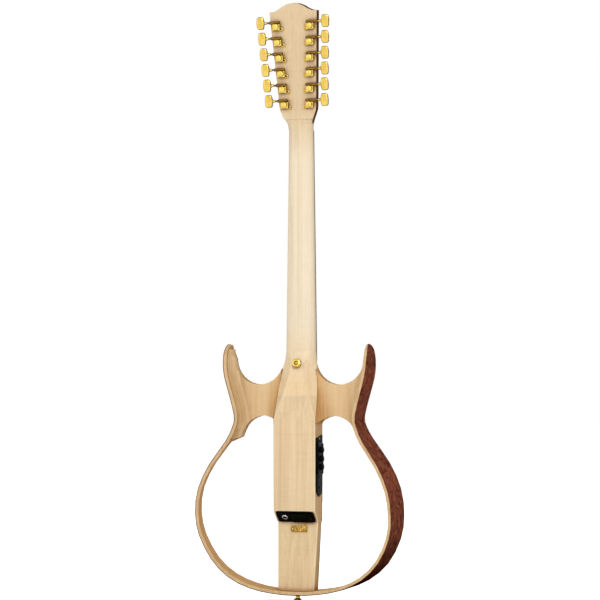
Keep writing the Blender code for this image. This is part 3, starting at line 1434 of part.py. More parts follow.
def add_door():
    """Battery door about its hinge axis, lying over the panel."""
    low = PANEL_TOP + RUNNING_GAP - DOOR_AXIS_OUT
    slab = block(
        (-DOOR_HALF_WIDTH, DOOR_FOOT - DOOR_AXIS_UP, low), (DOOR_HALF_WIDTH, 0.0, low + DOOR_THICKNESS))
    slab = bevelled(slab, 0.0004)
    barrel = rod(DOOR_BARREL_RADIUS, (-DOOR_HALF_WIDTH + 0.0002, 0, 0), (DOOR_HALF_WIDTH - 0.0002, 0, 0), 8)
    reach = DOOR_HALF_WIDTH + EAR_WIDTH * 0.6
    pin = rod(DOOR_PIN_RADIUS, (-reach, 0, 0), (reach, 0, 0), 6)
    place = END_FACE @ Matrix.Translation((BATTERY_X, DOOR_AXIS_UP, DOOR_AXIS_OUT))
    part("battery_door", combined(slab, adds=[barrel, pin]), "black_plastic", place)


# Catch

def catch_frame():
    """Frame on the back of the tail plank: local +Y up the plank, local +Z outward."""
    back = plank_value(PLANK_BACK, CATCH_Z)
    up = Vector((0, PLANK_BACK[0] - PLANK_BACK[1], BOX_END_Z - PLANK_END_Z)).normalized()
    across = Vector((1, 0, 0))
    turn = Matrix((across, up, across.cross(up))).transposed().to_4x4()
    outward = across.cross(up)
    return Matrix.Translation(Vector((CATCH_X, back, CATCH_Z)) + outward * GAP) @ turn


def add_catch():
    """Plate with a slider under the battery door, whose finger points at the door."""
    half_y = CATCH_HEIGHT / 2
    middle = BATTERY_X - CATCH_X
    near, far = middle - SLIDER_HALF_WIDTH, middle + SLIDER_HALF_WIDTH
    end = half_y - 0.0012
    plate = block((-CATCH_HALF_WIDTH, -half_y, 0.0), (CATCH_HALF_WIDTH, half_y, CATCH_THICKNESS))
    plate = bevelled(plate, 0.0004)
    slot = block((near - GAP, -end, -0.001), (far + GAP, half_y + 0.01, 0.01))
    part("catch_plate", combined(plate, cuts=[slot]), "gold", catch_frame())
    foot = SLIDER_TRAVEL + GAP - end
    tab = block((near, foot, GAP), (far, half_y, CATCH_THICKNESS))
    finger = block(
        (middle - FINGER_HALF_WIDTH, 0.0, GAP + 0.0002),
        (middle + FINGER_HALF_WIDTH, half_y + FINGER_REACH, CATCH_THICKNESS + 0.0006))
    grip = block(
        (near + 0.001, foot + 0.001, GAP + 0.0004), (far - 0.001, foot + 0.0030, CATCH_THICKNESS + 0.0012))
    part("catch_slider", combined(tab, adds=[finger, grip]), "gold", catch_frame())


def build():
    add_guides()
    add_neck()
    add_headstock_front()
    add_truss_rod()
    add_rod_cover()
    add_fingerboard()
    add_frets()
    add_nut()
    add_strings()
    add_tuners()
    add_rims()
    add_wings()
    add_top()
    add_box()
    add_plank()
    add_bridge()
    add_pins()
    add_strap_buttons()
    add_preamp()
    add_end_panel()
    add_battery()
    add_jack()
    add_door()
    add_catch()


build()
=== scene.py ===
"""Looks of the twelve-string frame guitar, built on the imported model."""
from math import asin, atan2, cos, pi, radians, sin

import bmesh
import bpy
from mathutils import Matrix, Vector


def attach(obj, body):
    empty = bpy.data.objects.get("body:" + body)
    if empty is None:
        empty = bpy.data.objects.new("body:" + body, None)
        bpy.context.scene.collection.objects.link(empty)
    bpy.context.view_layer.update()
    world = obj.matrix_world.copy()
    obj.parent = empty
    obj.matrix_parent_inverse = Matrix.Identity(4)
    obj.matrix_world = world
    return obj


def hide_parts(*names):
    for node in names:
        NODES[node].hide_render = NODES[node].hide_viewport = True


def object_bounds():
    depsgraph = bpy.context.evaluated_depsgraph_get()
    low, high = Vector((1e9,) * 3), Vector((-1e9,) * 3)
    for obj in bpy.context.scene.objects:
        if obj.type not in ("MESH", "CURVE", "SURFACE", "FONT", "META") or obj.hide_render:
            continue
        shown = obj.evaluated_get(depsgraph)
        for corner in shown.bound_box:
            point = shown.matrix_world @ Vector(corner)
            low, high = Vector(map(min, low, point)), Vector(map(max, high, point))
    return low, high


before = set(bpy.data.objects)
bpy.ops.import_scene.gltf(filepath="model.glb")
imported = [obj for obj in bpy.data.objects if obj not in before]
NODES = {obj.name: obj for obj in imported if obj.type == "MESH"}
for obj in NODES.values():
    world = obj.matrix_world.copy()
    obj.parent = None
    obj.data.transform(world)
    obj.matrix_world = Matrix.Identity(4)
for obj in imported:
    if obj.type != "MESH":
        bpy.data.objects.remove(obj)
cad_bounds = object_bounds()
BODY = "guitar"
scene = bpy.context.scene


def moved(x, y, z):
    """A shift without a turn."""
    return Matrix.Translation((x, y, z))


# Sizes shared with the solids, in metres
GAP = 0.0003
SCALE_LENGTH = 0.650
FRET_COUNT = 22
SEMITONES = 12
NUT_THICKNESS = 0.005
NUT_HALF_WIDTH = 0.0225
NECK_SPREAD = 0.0132
BOARD_TOP = 0.006
STRING_Y_NUT = 0.0076
STRING_Y_SADDLE = 0.0135
COURSE_SPACING = (0.0077, 0.0104)
PAIR_GAP = (0.0018, 0.0028)
STRING_RADII = (
    (0.00060, 0.00034), (0.00050, 0.00023), (0.00038, 0.00016),
    (0.00029, 0.00014), (0.00018, 0.00018), (0.00014, 0.00014))
WOUND_FROM = 0.00020
# Small step between pieces that must not share a face
HAIR = 0.0001

# Fingerboard
FRET_CROWN = 0.0011
FRET_END_GAP = 0.0005
DOT_PROFILE = ((0, 0.00012), (0.0026, 0.00012), (0.0030, 0.0), (0, 0.0))
DOT_FRETS = (3, 5, 7, 9, 12, 15, 17, 19, 21)
DOUBLE_DOT_FRET = 12
DOUBLE_DOT_REACH = 0.0085

# Strings: steps in depth and height by pin and saddle, and turns round the posts
PIN_EXIT = (-0.0020, 0.0030)
BRIDGE_EXIT_Z = 0.0042
SADDLE_START = (0.0003, 0.0012)
THICK_STRING = 0.0004
WIRE_CLEARANCE = 0.00005
TURN_STEPS = 18
TURN_PITCH = 2.1
EYE_SHARES = (0.35, 0.7)

# Headstock and tuners, in the headstock's own plane
HEAD = moved(0, 0, NUT_THICKNESS) @ Matrix.Rotation(radians(10.0), 4, "X")
HEAD_BACK = -0.0163 - GAP
TUNER_ROWS = 6
TUNER_FIRST = 0.0450
TUNER_PITCH = 0.0281
POST_HALF_SPACING = 0.0235
POST_SPREAD = 0.00164
POST_RADIUS = 0.00275
POST_TIP = 0.0150
POST_FOOT = -0.0209
POST_WAIST = 0.00235
POST_EYE = 0.0096
WIND_HEIGHT = 0.0032
HOLE_RADIUS = 0.0009
HOLE_REACH = 0.006
HOUSING_HALF = 0.0078
PLATE_CORNER = 0.0016
PLATE_THICKNESS = 0.0018
COVER_INSET = (0.0005, 0.0021)
COVER_CORNER = 0.0014
COVER_DROP = 0.0018
COVER_HEIGHT = 0.0070
LUG_OFFSET = (-0.0092, -0.0062)
LUG_RADIUS = 0.0029
LUG_THICKNESS = 0.0021
LUG_CORNERS = ((-0.0030, -0.0074), (-0.0074, -0.0010))
LUG_SCREW = 0.0019
WORM_OFFSET = 0.0062
WORM_HEIGHT = 0.0042
# Radius and ends of the worm's barrel and of its collar, and the sides of the block they lie on
BARREL = (0.0025, -0.0070, 0.0122)
BARREL_COLLAR = (0.0029, 0.0104, 0.0128)
BARREL_SEAT = (-0.0064, 0.0070, -0.0030, 0.0012)
BUTTON_REACH = 0.0288
BUTTON_SIZE = (0.0152, 0.0230, 0.0070)
# Outer half of the button's outline as shares of its half sizes, and the inner half's share of it
BUTTON_OUTLINE = (
    (0.50, 1.0), (0.78, 0.90), (0.93, 0.66), (1.0, 0.30),
    (1.0, -0.30), (0.93, -0.66), (0.78, -0.90), (0.50, -1.0))
BUTTON_INNER_SHARE = 0.92
SHAFT_RADIUS = 0.0017
SHAFT_START = 0.0124
BUSHING_HEX = (0.0056, 0.0018)
# Profiles of turned pieces, as radius and height
CAP_PROFILE = (
    (0, 0.0098), (0.0030, 0.0098), (0.0036, 0.0094), (0.0040, 0.0094), (0.0050, 0.0092), (0.0053, 0.0086),
    (0.0053, 0.0066), (0, 0.0066))
CAP_DROP = 0.0008
BUSHING_PROFILE = (
    (0.0031, 0.0020), (0.0042, 0.0020), (0.0048, 0.0015), (0.0062, 0.0012), (0.0066, 0.0004), (0.0066, 0.0),
    (0.0031, 0.0))
COLLAR_PROFILE = (
    (0.0016, 0.0062), (0.0036, 0.0058), (0.0036, 0.0044), (0.0027, 0.0036), (0.0027, 0.0016), (0.0022, 0.0))
COLLAR_OFFSET = 0.0040
POST_PROFILE = (
    (0, POST_TIP), (0.0021, POST_TIP), (POST_RADIUS, POST_TIP - 0.0006), (POST_RADIUS, POST_TIP - 0.0034),
    (POST_WAIST, POST_TIP - 0.0042), (POST_WAIST, 0.0030), (POST_RADIUS, 0.0024),
    (POST_RADIUS, POST_FOOT), (0, POST_FOOT))

# Truss rod cover: thickness and places of its screws in the headstock's frame
ROD_COVER_THICKNESS = 0.0016
ROD_COVER_SCREWS = ((-0.0062, 0.0070), (0.0062, 0.0070), (0.0, 0.0420))

# Bridge
BRIDGE_TOP = 0.0090
PIN_ROWS = (-SCALE_LENGTH - 0.0100, -SCALE_LENGTH - 0.0175)
PIN_PAIR_GAP = 0.0054
PIN_PROFILE = (
    (0, 0.0020), (0.0012, 0.0019), (0.0024, 0.0015), (0.0032, 0.0009), (0.0034, 0.0003), (0.0034, 0.0),
    (0.0022, 0.0), (0.0018, -0.0100), (0, -0.0100))
PIN_EYE_PROFILE = ((0, 0.00215), (0.0009, 0.00212), (0.0011, 0.0018), (0, 0.0018))

# Strap buttons: place and outward direction of their faces, and profiles
HEEL_STRAP = ((0, -0.02404, -0.42294), (0, -0.9769, 0.2137))
TAIL_STRAP = ((0, -0.0230, -0.8368), (0, 0, -1))
STRAP_HEIGHT = 0.0110
STRAP_PROFILE = (
    (0.0031, STRAP_HEIGHT - 0.0010), (0.0040, STRAP_HEIGHT), (0.0060, STRAP_HEIGHT),
    (0.0070, STRAP_HEIGHT - 0.0004), (0.0075, STRAP_HEIGHT - 0.0013), (0.0074, STRAP_HEIGHT - 0.0022),
    (0.0064, STRAP_HEIGHT - 0.0034), (0.0046, STRAP_HEIGHT - 0.0045), (0.0037, STRAP_HEIGHT - 0.0058),
    (0.0038, 0.0030), (0.0046, 0.0020), (0.0060, 0.0014), (0.0064, 0.0008), (0.0064, 0.0006), (0, 0.0006))
WASHER_PROFILE = ((0, 0.0007), (0.0066, 0.0007), (0.0069, 0.0003), (0.0066, 0.0), (0, 0.0))
STRAP_SCREW = 0.0031
STRAP_SCREW_SINK = 0.0012

# Preamp on the bass side of the box: its faces' distances across, then its middle in depth
PREAMP_SEAT = 0.0395
PREAMP_FACE = 0.0411
PREAMP_RAISED = 0.0433
PREAMP_MIDDLE = -0.02375
PREAMP_LAP = 0.0004
FLANGE_HALF = 0.01975
FLANGE_FOOT = -0.6600
FLANGE_CORNERS = (
    (FLANGE_HALF, -0.5512), (FLANGE_HALF - 0.0016, -0.5500), (-FLANGE_HALF + 0.0022, -0.5562),
    (-FLANGE_HALF, -0.5580))
FOOT_STEPS = 24
# Half sizes and corner of panel, tray, border and the border's hollow
PANEL = (0.01775, 0.0285, 0.0050)
TRAY = (0.0125, 0.0140, 0.0030)
TRAY_THICKNESS = 0.0005
BORDER_HEIGHT = 0.0005
BORDER = (0.0164, 0.0270, 0.0020)
BORDER_HOLLOW = (0.0152, 0.0258, 0.0014)
CHASSIS = ((0.0162, -0.0410, -0.6300), (PREAMP_SEAT + PREAMP_LAP, -0.0065, -0.5550))
PANEL_Z = -0.5925
TRAY_Z = -0.6420
KEY_Z = -0.6450
KNOBS = (("volume_knob", -0.5765), ("bass_knob", PANEL_Z), ("treble_knob", -0.6070))
PREAMP_SCREWS_Z = (-0.5570, -0.6300)
KNOB_RADIUS = 0.0060
KNOB_HEIGHT = 0.0042
KNOB_RIBS = (0.025, 24)
CROWN_PROFILE = ((0, 0.0056), (0.0042, 0.0056), (0.0050, 0.0050), (0.0053, 0.0040), (0, 0.0040))
POINTER = ((-0.0004, 0.0010, 0.0052), (0.0004, 0.0046, 0.0058))
KEY_PROFILE = (
    (0, 0.0016), (0.0018, 0.0015), (0.0027, 0.0011), (0.0030, 0.0005), (0.0030, -0.0050), (0, -0.0050))
BEZEL_PROFILE = ((0.0034, 0.0003), (0.0037, 0.0007), (0.0044, 0.0006), (0.0047, 0.0), (0.0034, 0.0))

# End panel: the frame of its seat, its thickness, jack, battery door and screws
END_FACE = moved(0, -0.0340, -0.6955) @ Matrix((
    (1, 0, 0), (0, -0.7526, 0.6585), (0, -0.6585, -0.7526))).transposed().to_4x4()
PANEL_OUT = 0.0023
DOOR_TOP = 0.0045
JACK_X = -0.0200
JACK_PROFILE = (
    (0.0033, 0.0010), (0.0036, 0.0014), (0.0046, 0.0015), (0.0050, 0.0012), (0.0056, 0.0010),
    (0.0060, 0.0006), (0.0061, 0.0002), (0.0046, 0.0001), (0.0046, -0.0220), (0, -0.0220), (0, -0.0200),
    (0.0033, -0.0200), (0.0033, 0.0012))
JACK_NUT = (0.0055, 0.0013)
JACK_HOLE = ((0, 0.004), (0.0042, 0.004), (0.0042, -0.002), (0, -0.002))
DOOR_X = 0.0120
RIDGE = ((-0.0060, -0.0003, 0.0), (0.0060, 0.0003, 0.0004))
RIDGES_Y = (-0.0106, -0.0094, -0.0082)
PANEL_SCREWS = ((-0.0318, 0.0330), (-0.0108, 0.0108))

# Catch on the plank, whose back leans out downward
PLANK_TILT = atan2(0.0350 - 0.0220, 0.8375 - 0.7060)
CATCH = moved(0.0028, -0.02358, -0.71897) @ Matrix.Rotation(pi / 2 - PLANK_TILT, 4, "X")
BACKING = ((0.0052, -0.0046, -0.0001), (0.0132, 0.0050, 0.0002))
CATCH_WASHER = ((0, 0.0002), (0.0024, 0.0002), (0.0028, 0.0), (0, 0.0))
CATCH_SCREW_PLACE = (-0.0118, 0, 0.0016)
CATCH_STUD_PLACE = (0.0112, 0.0012, 0.0018)

FLIP = Matrix.Diagonal((-1, 1, 1, 1))
PLAIN = Matrix.Identity(4)
# Turns that take local +Z to the front, to the back and to the bass side
FORWARD = Matrix.Rotation(-pi / 2, 4, "X")
BACKWARD = Matrix.Rotation(pi / 2, 4, "X")
SIDEWAYS = Matrix(((0, 0, 1, 0), (1, 0, 0, 0), (0, 1, 0, 0), (0, 0, 0, 1)))


# Materials

def rgb(*channels):
    """Linear colour from 0-255 display values."""
    values = []
    for channel in channels:
        c = channel / 255
        values.append(c / 12.92 if c <= 0.04045 else ((c + 0.055) / 1.055) ** 2.4)
    return (*values, 1.0)


def grey(value):
    return (value, value, value, 1.0)


# A face is a cut edge if it faces front or back by less than this
CUT_EDGE = 0.30
# Wood: noise scales of the grain's bands, its fine streaks and the cross figure
BAND_SCALE = 120
STREAK_SCALE = 900
FIGURE_SCALE = (28, 28, 150)
WOOD_GLOSS = 0.25
SEAM_HALF = 0.0004
SEAM_STRENGTH = 0.25


class Look:
    """A Principled material with short ways to add and join nodes."""

    def __init__(self, name, roughness, metallic=0.0, gloss=0.5):
        self.roughness = roughness
        self.made = bpy.data.materials.new(name)
        self.made.use_nodes = True
        self.tree = self.made.node_tree
        self.shader = self.tree.nodes["Principled BSDF"]
        self.shader.inputs["Roughness"].default_value = roughness
        self.shader.inputs["Metallic"].default_value = metallic
        self.shader.inputs["Specular IOR Level"].default_value = gloss

    def node(self, kind, inputs=None, **settings):
        made = self.tree.nodes.new(kind)
        for key, value in settings.items():
            setattr(made, key, value)
        for key, value in (inputs or {}).items():
            self.give(made.inputs[key], value)
        return made

    def give(self, socket, value):
        if isinstance(value, bpy.types.NodeSocket):
            self.tree.links.new(value, socket)
        else:
            socket.default_value = value

    def link(self, source, key):
        self.tree.links.new(source, self.shader.inputs[key])

    def place(self, scale):
        """Object coordinates, scaled."""
        spot = self.node("ShaderNodeTexCoord").outputs["Object"]
        return self.node("ShaderNodeMapping", {"Vector": spot, "Scale": scale}).outputs["Vector"]

    def noise(self, scale, detail=4.0, roughness=0.6, distortion=0.0):
        return self.node("ShaderNodeTexNoise", {
            "Vector": self.place(scale), "Scale": 1.0, "Detail": detail, "Roughness": roughness,
            "Distortion": distortion}).outputs["Fac"]

    def ramp(self, source, *stops):
        made = self.node("ShaderNodeValToRGB", {"Fac": source})
        ramp = made.color_ramp
        while len(ramp.elements) < len(stops):
            ramp.elements.new(0.5)
        for element, (position, colour) in zip(ramp.elements, stops):
            element.position = position
            element.color = colour
        return made.outputs["Color"]

    def mix(self, a, b, factor, blend="MIX"):
        made = self.node("ShaderNodeMix", data_type="RGBA", blend_type=blend)
        for index, value in ((0, factor), (6, a), (7, b)):
            self.give(made.inputs[index], value)
        return made.outputs[2]

    def along(self, axis):
        """Place along an axis, in metres."""
        spot = self.node("ShaderNodeTexCoord").outputs["Object"]
        return self.node("ShaderNodeSeparateXYZ", {"Vector": spot}).outputs[axis]

    def math(self, operation, *values):
        made = self.node("ShaderNodeMath", operation=operation)
        for index, value in enumerate(values):
            self.give(made.inputs[index], value)
        return made.outputs[0]

    def zoned(self, colour, low, high, *stops):
        """The colour times a tint that changes with height; stops are shares from low to high."""
        share = self.math("DIVIDE", self.math("SUBTRACT", self.along("Z"), low), high - low)
        return self.mix(colour, self.ramp(share, *stops), 1.0, "MULTIPLY")

    def shade_in_hollows(self, colour, reach, dark):
        """The colour with painted shade in corners and grooves."""
        hidden = self.node("ShaderNodeAmbientOcclusion", {"Distance": reach}, samples=6).outputs["AO"]
        return self.mix(colour, self.ramp(hidden, (0.38, dark), (0.90, grey(1.0))), 1.0, "MULTIPLY")

    def highlighted(self, colour, radius, light):
        """The colour with a painted highlight along its outer edges."""
        eased = self.node("ShaderNodeBevel", {"Radius": radius}, samples=4).outputs["Normal"]
        flat = self.node("ShaderNodeNewGeometry").outputs["Normal"]
        turn = self.node(
            "ShaderNodeVectorMath", {0: eased, 1: flat}, operation="DOT_PRODUCT").outputs["Value"]
        return self.mix(colour, light, self.ramp(turn, (0.955, grey(0.9)), (0.998, grey(0.0))))

    def shaded_beside_box(self, colour, lean, start, width, *stops):
        """The colour times painted shade by the distance from the box's sides, which lean outward downward.
        """
        edge = self.math("ADD", self.math("MULTIPLY", self.along("Z"), -lean), start)
        out = self.math("SUBTRACT", self.math("ABSOLUTE", self.along("X")), edge)
        return self.mix(colour, self.ramp(self.math("DIVIDE", out, width), *stops), 1.0, "MULTIPLY")

    def facing(self, axis):
        """How far the surface faces along an axis, either way."""
        normal = self.node("ShaderNodeTexCoord").outputs["Normal"]
        return self.math("ABSOLUTE", self.node("ShaderNodeSeparateXYZ", {"Vector": normal}).outputs[axis])

    def edge_shaded(self, colour, tint, above=-1.0, rise=()):
        """The colour with dull cut edges, given painted shade above a height and where they face up enough.
        """
        share = self.math("LESS_THAN", self.facing("Y"), CUT_EDGE)
        self.link(self.ramp(share, (0.0, grey(WOOD_GLOSS)), (1.0, grey(0.0))), "Specular IOR Level")
        share = self.math("MULTIPLY", share, self.math("GREATER_THAN", self.along("Z"), above))
        if rise:
            low, high = rise
            upward = self.ramp(self.facing("Z"), (low, grey(0.0)), (high, grey(1.0)))
            share = self.math("MULTIPLY", share, upward)
        return self.mix(colour, tint, share, "MULTIPLY")

    def rough(self, source, below=0.05, above=0.08):
        """Roughness that varies about the look's own."""
        low, high = self.roughness - below, self.roughness + above
        self.link(self.ramp(source, (0.3, grey(high)), (0.7, grey(low))), "Roughness")

    def bump(self, height, strength, distance):
        made = self.node("ShaderNodeBump", {"Height": height, "Strength": strength, "Distance": distance})
        self.link(made.outputs["Normal"], "Normal")


# The corner colour, within its reach, is painted shade in hollows; the edge tint is painted shade on cut
# edges.
def maple(name, light, middle, dark, along=(1, 1, 0.03), flame=0.25, roughness=0.42, seams=(), zones=(),
          edge=(), reach=0.010, corner=rgb(196, 160, 118), box_shade=(), highlight=()):
    """Pale lacquered maple: long grain, fine streaks, faint cross figure, glued seams, tints by place,
    painted shade and highlight.
    """
    look = Look(name, roughness, gloss=WOOD_GLOSS)
    broad = look.noise([BAND_SCALE * a for a in along], detail=5.0, roughness=0.62, distortion=0.8)
    base = look.ramp(broad, (0.22, dark), (0.50, middle), (0.78, light))
    streak = look.noise([STREAK_SCALE * a for a in along], detail=3.0, roughness=0.7)
    streaks = look.ramp(streak, (0.30, grey(0.88)), (0.62, grey(1.0)))
    figure = look.noise(FIGURE_SCALE, detail=3.0, roughness=0.5, distortion=1.2)
    figured = look.ramp(figure, (0.35, grey(0.90)), (0.60, grey(1.0)))
    colour = look.mix(base, streaks, 0.5, "MULTIPLY")
    colour = look.mix(colour, figured, flame, "MULTIPLY")
    for height in seams:
        near = look.math("COMPARE", look.along("Z"), height, SEAM_HALF)
        colour = look.mix(colour, dark, look.math("MULTIPLY", near, SEAM_STRENGTH), "MULTIPLY")
    if zones:
        colour = look.zoned(colour, *zones)
    if box_shade:
        colour = look.shaded_beside_box(colour, *box_shade)
    if edge:
        colour = look.edge_shaded(colour, *edge)
    if highlight:
        colour = look.highlighted(colour, *highlight)
    look.link(look.shade_in_hollows(colour, reach, corner), "Base Color")
    look.rough(streak, below=0.06)
    look.bump(streak, strength=0.05, distance=0.0004)
    return look.made


def mottled(name, light, middle, dark, roughness=0.50, poring=0.5, zones=()):
    """Figured brown veneer with blotches and short dark flecks."""
    look = Look(name, roughness, gloss=0.0)
    blotch = look.noise((70, 70, 60), detail=5.0, roughness=0.62, distortion=1.6)
    base = look.ramp(blotch, (0.32, dark), (0.50, middle), (0.68, light))
    pores = look.noise((260, 260, 900), roughness=0.7)
    flecks = look.ramp(pores, (0.36, grey(0.50)), (0.56, grey(1.0)))
    colour = look.mix(base, flecks, poring, "MULTIPLY")
    if zones:
        colour = look.zoned(colour, *zones)
    look.link(colour, "Base Color")
    look.rough(pores, above=0.12)
    look.bump(pores, strength=0.08, distance=0.0003)
    return look.made


def rosewood(name):
    """Dark wood with fine long grain."""
    look = Look(name, roughness=0.52, gloss=0.15)
    grain = look.noise((500, 500, 16), detail=6.0, roughness=0.65, distortion=0.4)
    base = look.ramp(grain, (0.30, rgb(26, 17, 13)), (0.52, rgb(48, 32, 24)), (0.75, rgb(76, 52, 38)))
    look.link(base, "Base Color")
    look.rough(grain, below=0.06)
    look.bump(grain, strength=0.12, distance=0.0003)
    return look.made


def metal(name, dark, light, roughness, grain=(130, 130, 130), turned=(255, 255, 255)):
    """Plated metal with faint wear, painted shade in its grooves and painted shade on sides turned away."""
    look = Look(name, roughness, metallic=1.0)
    wear = look.noise(grain)
    colour = look.ramp(wear, (0.3, rgb(*dark)), (0.7, rgb(*light)))
    side = look.ramp(look.facing("Y"), (0.30, rgb(*turned)), (0.92, grey(1.0)))
    colour = look.mix(colour, side, 1.0, "MULTIPLY")
    look.link(look.shade_in_hollows(colour, 0.0020, rgb(130, 100, 60)), "Base Color")
    look.rough(wear)
    look.bump(wear, strength=0.01, distance=0.0002)
    return look.made


def engraved(name):
    """Gold plate chased all over with a small plain pattern."""
    look = Look(name, roughness=0.36, metallic=1.0)
    chase = look.noise((620, 620, 620), detail=2.0, distortion=1.4)
    look.link(look.ramp(chase, (0.42, rgb(86, 62, 22)), (0.56, rgb(196, 156, 76))), "Base Color")
    look.rough(chase, below=0.06, above=0.19)
    look.bump(chase, strength=0.4, distance=0.0003)
    return look.made


def wound(name):
    """Bronze winding as fine rings along the string."""
    look = Look(name, roughness=0.34, metallic=1.0)
    rings = look.node("ShaderNodeTexWave", {
        "Vector": look.place((1, 1, 1)), "Scale": 130.0}, bands_direction="Z").outputs["Fac"]
    look.link(look.ramp(rings, (0.0, rgb(110, 72, 40)), (0.6, rgb(206, 152, 92))), "Base Color")
    look.bump(rings, strength=0.5, distance=0.0002)
    return look.made


def moulded(name, shade, roughness=0.40, grain=1400, gloss=0.2):
    """Moulded plastic with a fine texture."""
    look = Look(name, roughness, gloss=gloss)
    dust = look.noise((grain, grain, grain), detail=2.0, roughness=0.5)
    broad = look.noise((60, 60, 60), detail=3.0, roughness=0.5)
    low, high = [s * 0.85 for s in shade], [s * 1.2 for s in shade]
    look.link(look.ramp(broad, (0.3, rgb(*low)), (0.7, rgb(*high))), "Base Color")
    look.rough(dust, below=0.06, above=0.10)
    look.bump(dust, strength=0.10, distance=0.0001)
    return look.made


def ivory(name, light, dark, roughness, scale=90, coat=0.3):
    """Clouded bone or pearl under a clear coat."""
    look = Look(name, roughness)
    cloud = look.noise((scale, scale, scale), distortion=1.0)
    look.link(look.ramp(cloud, (0.3, rgb(*dark)), (0.7, rgb(*light))), "Base Color")
    look.rough(cloud)
    look.shader.inputs["Coat Weight"].default_value = coat
    return look.made


# Neck tints with height, from the heel to the crest
HEEL_TINT, NECK_TINT, HEAD_TINT = rgb(255, 242, 222), grey(1.0), rgb(238, 227, 210)
NECK_ZONES = (-0.50, 0.22, (0.06, HEEL_TINT), (0.20, NECK_TINT), (0.62, NECK_TINT), (0.74, HEAD_TINT))
# Painted shade on cut edges: sides of box and plank, wings, the headstock above a height, and rims
SIDE_SHADE = rgb(235, 224, 212)
WING_EDGE_SHADE = (rgb(218, 190, 158), -1.0, (0.2, 0.8))
HEAD_EDGE_SHADE = (rgb(104, 78, 56), 0.012)
RIM_SIDE_SHADE = rgb(240, 228, 212)
# Painted highlight along the outer edges of box and plank
EDGE_HIGHLIGHT = (0.0028, rgb(252, 238, 210))
BOX_SEAM_Z = -0.549
# Painted shade on the wings beside the box, by the distance from its side
WING_BOX_SHADE = (
    0.17, -0.0388, 0.022, (0.0, rgb(240, 222, 196)), (0.45, rgb(249, 243, 235)), (1.0, grey(1.0)))
# Painted shade on the veneer by height, darkest at the foot, with stops from the foot up
VENEER_FOOT_SHADE = (-0.84, -0.69, (0.0, rgb(62, 44, 34)), (0.30, rgb(112, 92, 80)), (0.9, grey(1.0)))

BOX_WOOD = maple(
    "box_maple", rgb(238, 213, 174), rgb(228, 200, 158), rgb(214, 184, 141),
    flame=0.3, seams=(BOX_SEAM_Z,), edge=(SIDE_SHADE,), reach=0.004, highlight=EDGE_HIGHLIGHT)
PLANK_WOOD = maple(
    "plank_maple", rgb(236, 211, 168), rgb(226, 198, 153), rgb(212, 182, 138),
    flame=0.35, edge=(SIDE_SHADE,), highlight=EDGE_HIGHLIGHT)
# Wings: dark painted shade in hollows that reaches far, deepest beside the box wall.
WING_WOOD = maple(
    "wing_maple", rgb(234, 205, 159), rgb(225, 192, 145), rgb(211, 176, 127),
    flame=0.3, edge=WING_EDGE_SHADE, reach=0.030, corner=rgb(150, 112, 70), box_shade=WING_BOX_SHADE)
NECK_WOOD = maple(
    "neck_maple", rgb(243, 228, 202), rgb(238, 220, 190), rgb(228, 206, 172),
    flame=0.2, roughness=0.36, zones=NECK_ZONES, edge=HEAD_EDGE_SHADE)
RIM_WOOD = maple(
    "rim_maple", rgb(226, 192, 146), rgb(212, 177, 131), rgb(190, 154, 108),
    along=(1, 1, 0.25), flame=0.2, edge=(RIM_SIDE_SHADE,))
VENEER = mottled(
    "mottled_veneer", rgb(160, 88, 64), rgb(124, 68, 50), rgb(70, 38, 28),
    poring=0.7, zones=VENEER_FOOT_SHADE)
TOP_LOOK = mottled("top_veneer", rgb(116, 84, 54), rgb(92, 66, 40), rgb(66, 46, 28))
DARK_WOOD = rosewood("dark_rosewood")
# Where given, turned is the colour of painted shade on the metal's sides.
GOLD = metal("gold_plate", (204, 170, 76), (230, 200, 104), roughness=0.30, turned=(104, 70, 30))
GOLD_SOFT = metal("gold_satin", (176, 138, 60), (206, 168, 84), roughness=0.36, turned=(84, 56, 24))
# A darker copy of the gold plate: painted shade on worm barrels and shafts.
GOLD_SHADED = metal("gold_painted_shade", (112, 80, 32), (152, 116, 54), roughness=0.40, turned=(60, 40, 18))
GOLD_CHASED = engraved("gold_chased")
STEEL = metal("bright_steel", (150, 150, 150), (186, 186, 186), roughness=0.28, grain=(220, 220, 900))
CHROME = metal(
    "chrome", (150, 150, 152), (190, 190, 192), roughness=0.20, grain=(220, 220, 220), turned=(96, 96, 96))
BRONZE = wound("bronze_winding")
BLACK = moulded("black_plastic", (9, 10, 9), gloss=0.01)
BLACK_GLOSS = moulded("black_gloss", (4, 5, 4), roughness=0.26, grain=900, gloss=0.01)
GREY = moulded("knob_plastic", (11, 12, 11), roughness=0.44, gloss=0.02)
MARK = moulded("pale_mark", (150, 150, 146), roughness=0.45)
FELT = moulded("black_felt", (20, 20, 20), roughness=0.9, grain=3000)
BONE = ivory("bone_white", (240, 230, 206), (222, 208, 176), roughness=0.35)
PEARL = ivory("pearl_inlay", (232, 232, 222), (176, 186, 182), roughness=0.22, scale=420, coat=0.6)


# Mesh helpers

EASE_SHARE = 0.2
# Screw heads: how far a head goes below its seat, and its recess as shares of radius and height
SCREW_SINK = 0.0004
LOW_HEAD = 0.0006
RECESS_REACH, RECESS_HALF, RECESS_FLOOR = 0.62, 0.14, 0.25


def shaded(thing, angle=32.0):
    """Smooth faces with sharp edges from an angle up."""
    thing.data.shade_smooth()
    thing.data.set_sharp_from_angle(angle=radians(angle))
    return thing


def piece(name, mesh, look, body=BODY, replaces=(), angle=32.0):
    """A visual piece that rides on a body."""
    thing = bpy.data.objects.new(name, mesh)
    scene.collection.objects.link(thing)
    mesh.materials.clear()
    mesh.materials.append(look)
    if isinstance(mesh, bpy.types.Mesh):
        shaded(thing, angle)
    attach(thing, body)
    if replaces:
        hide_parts(*replaces)
    return thing


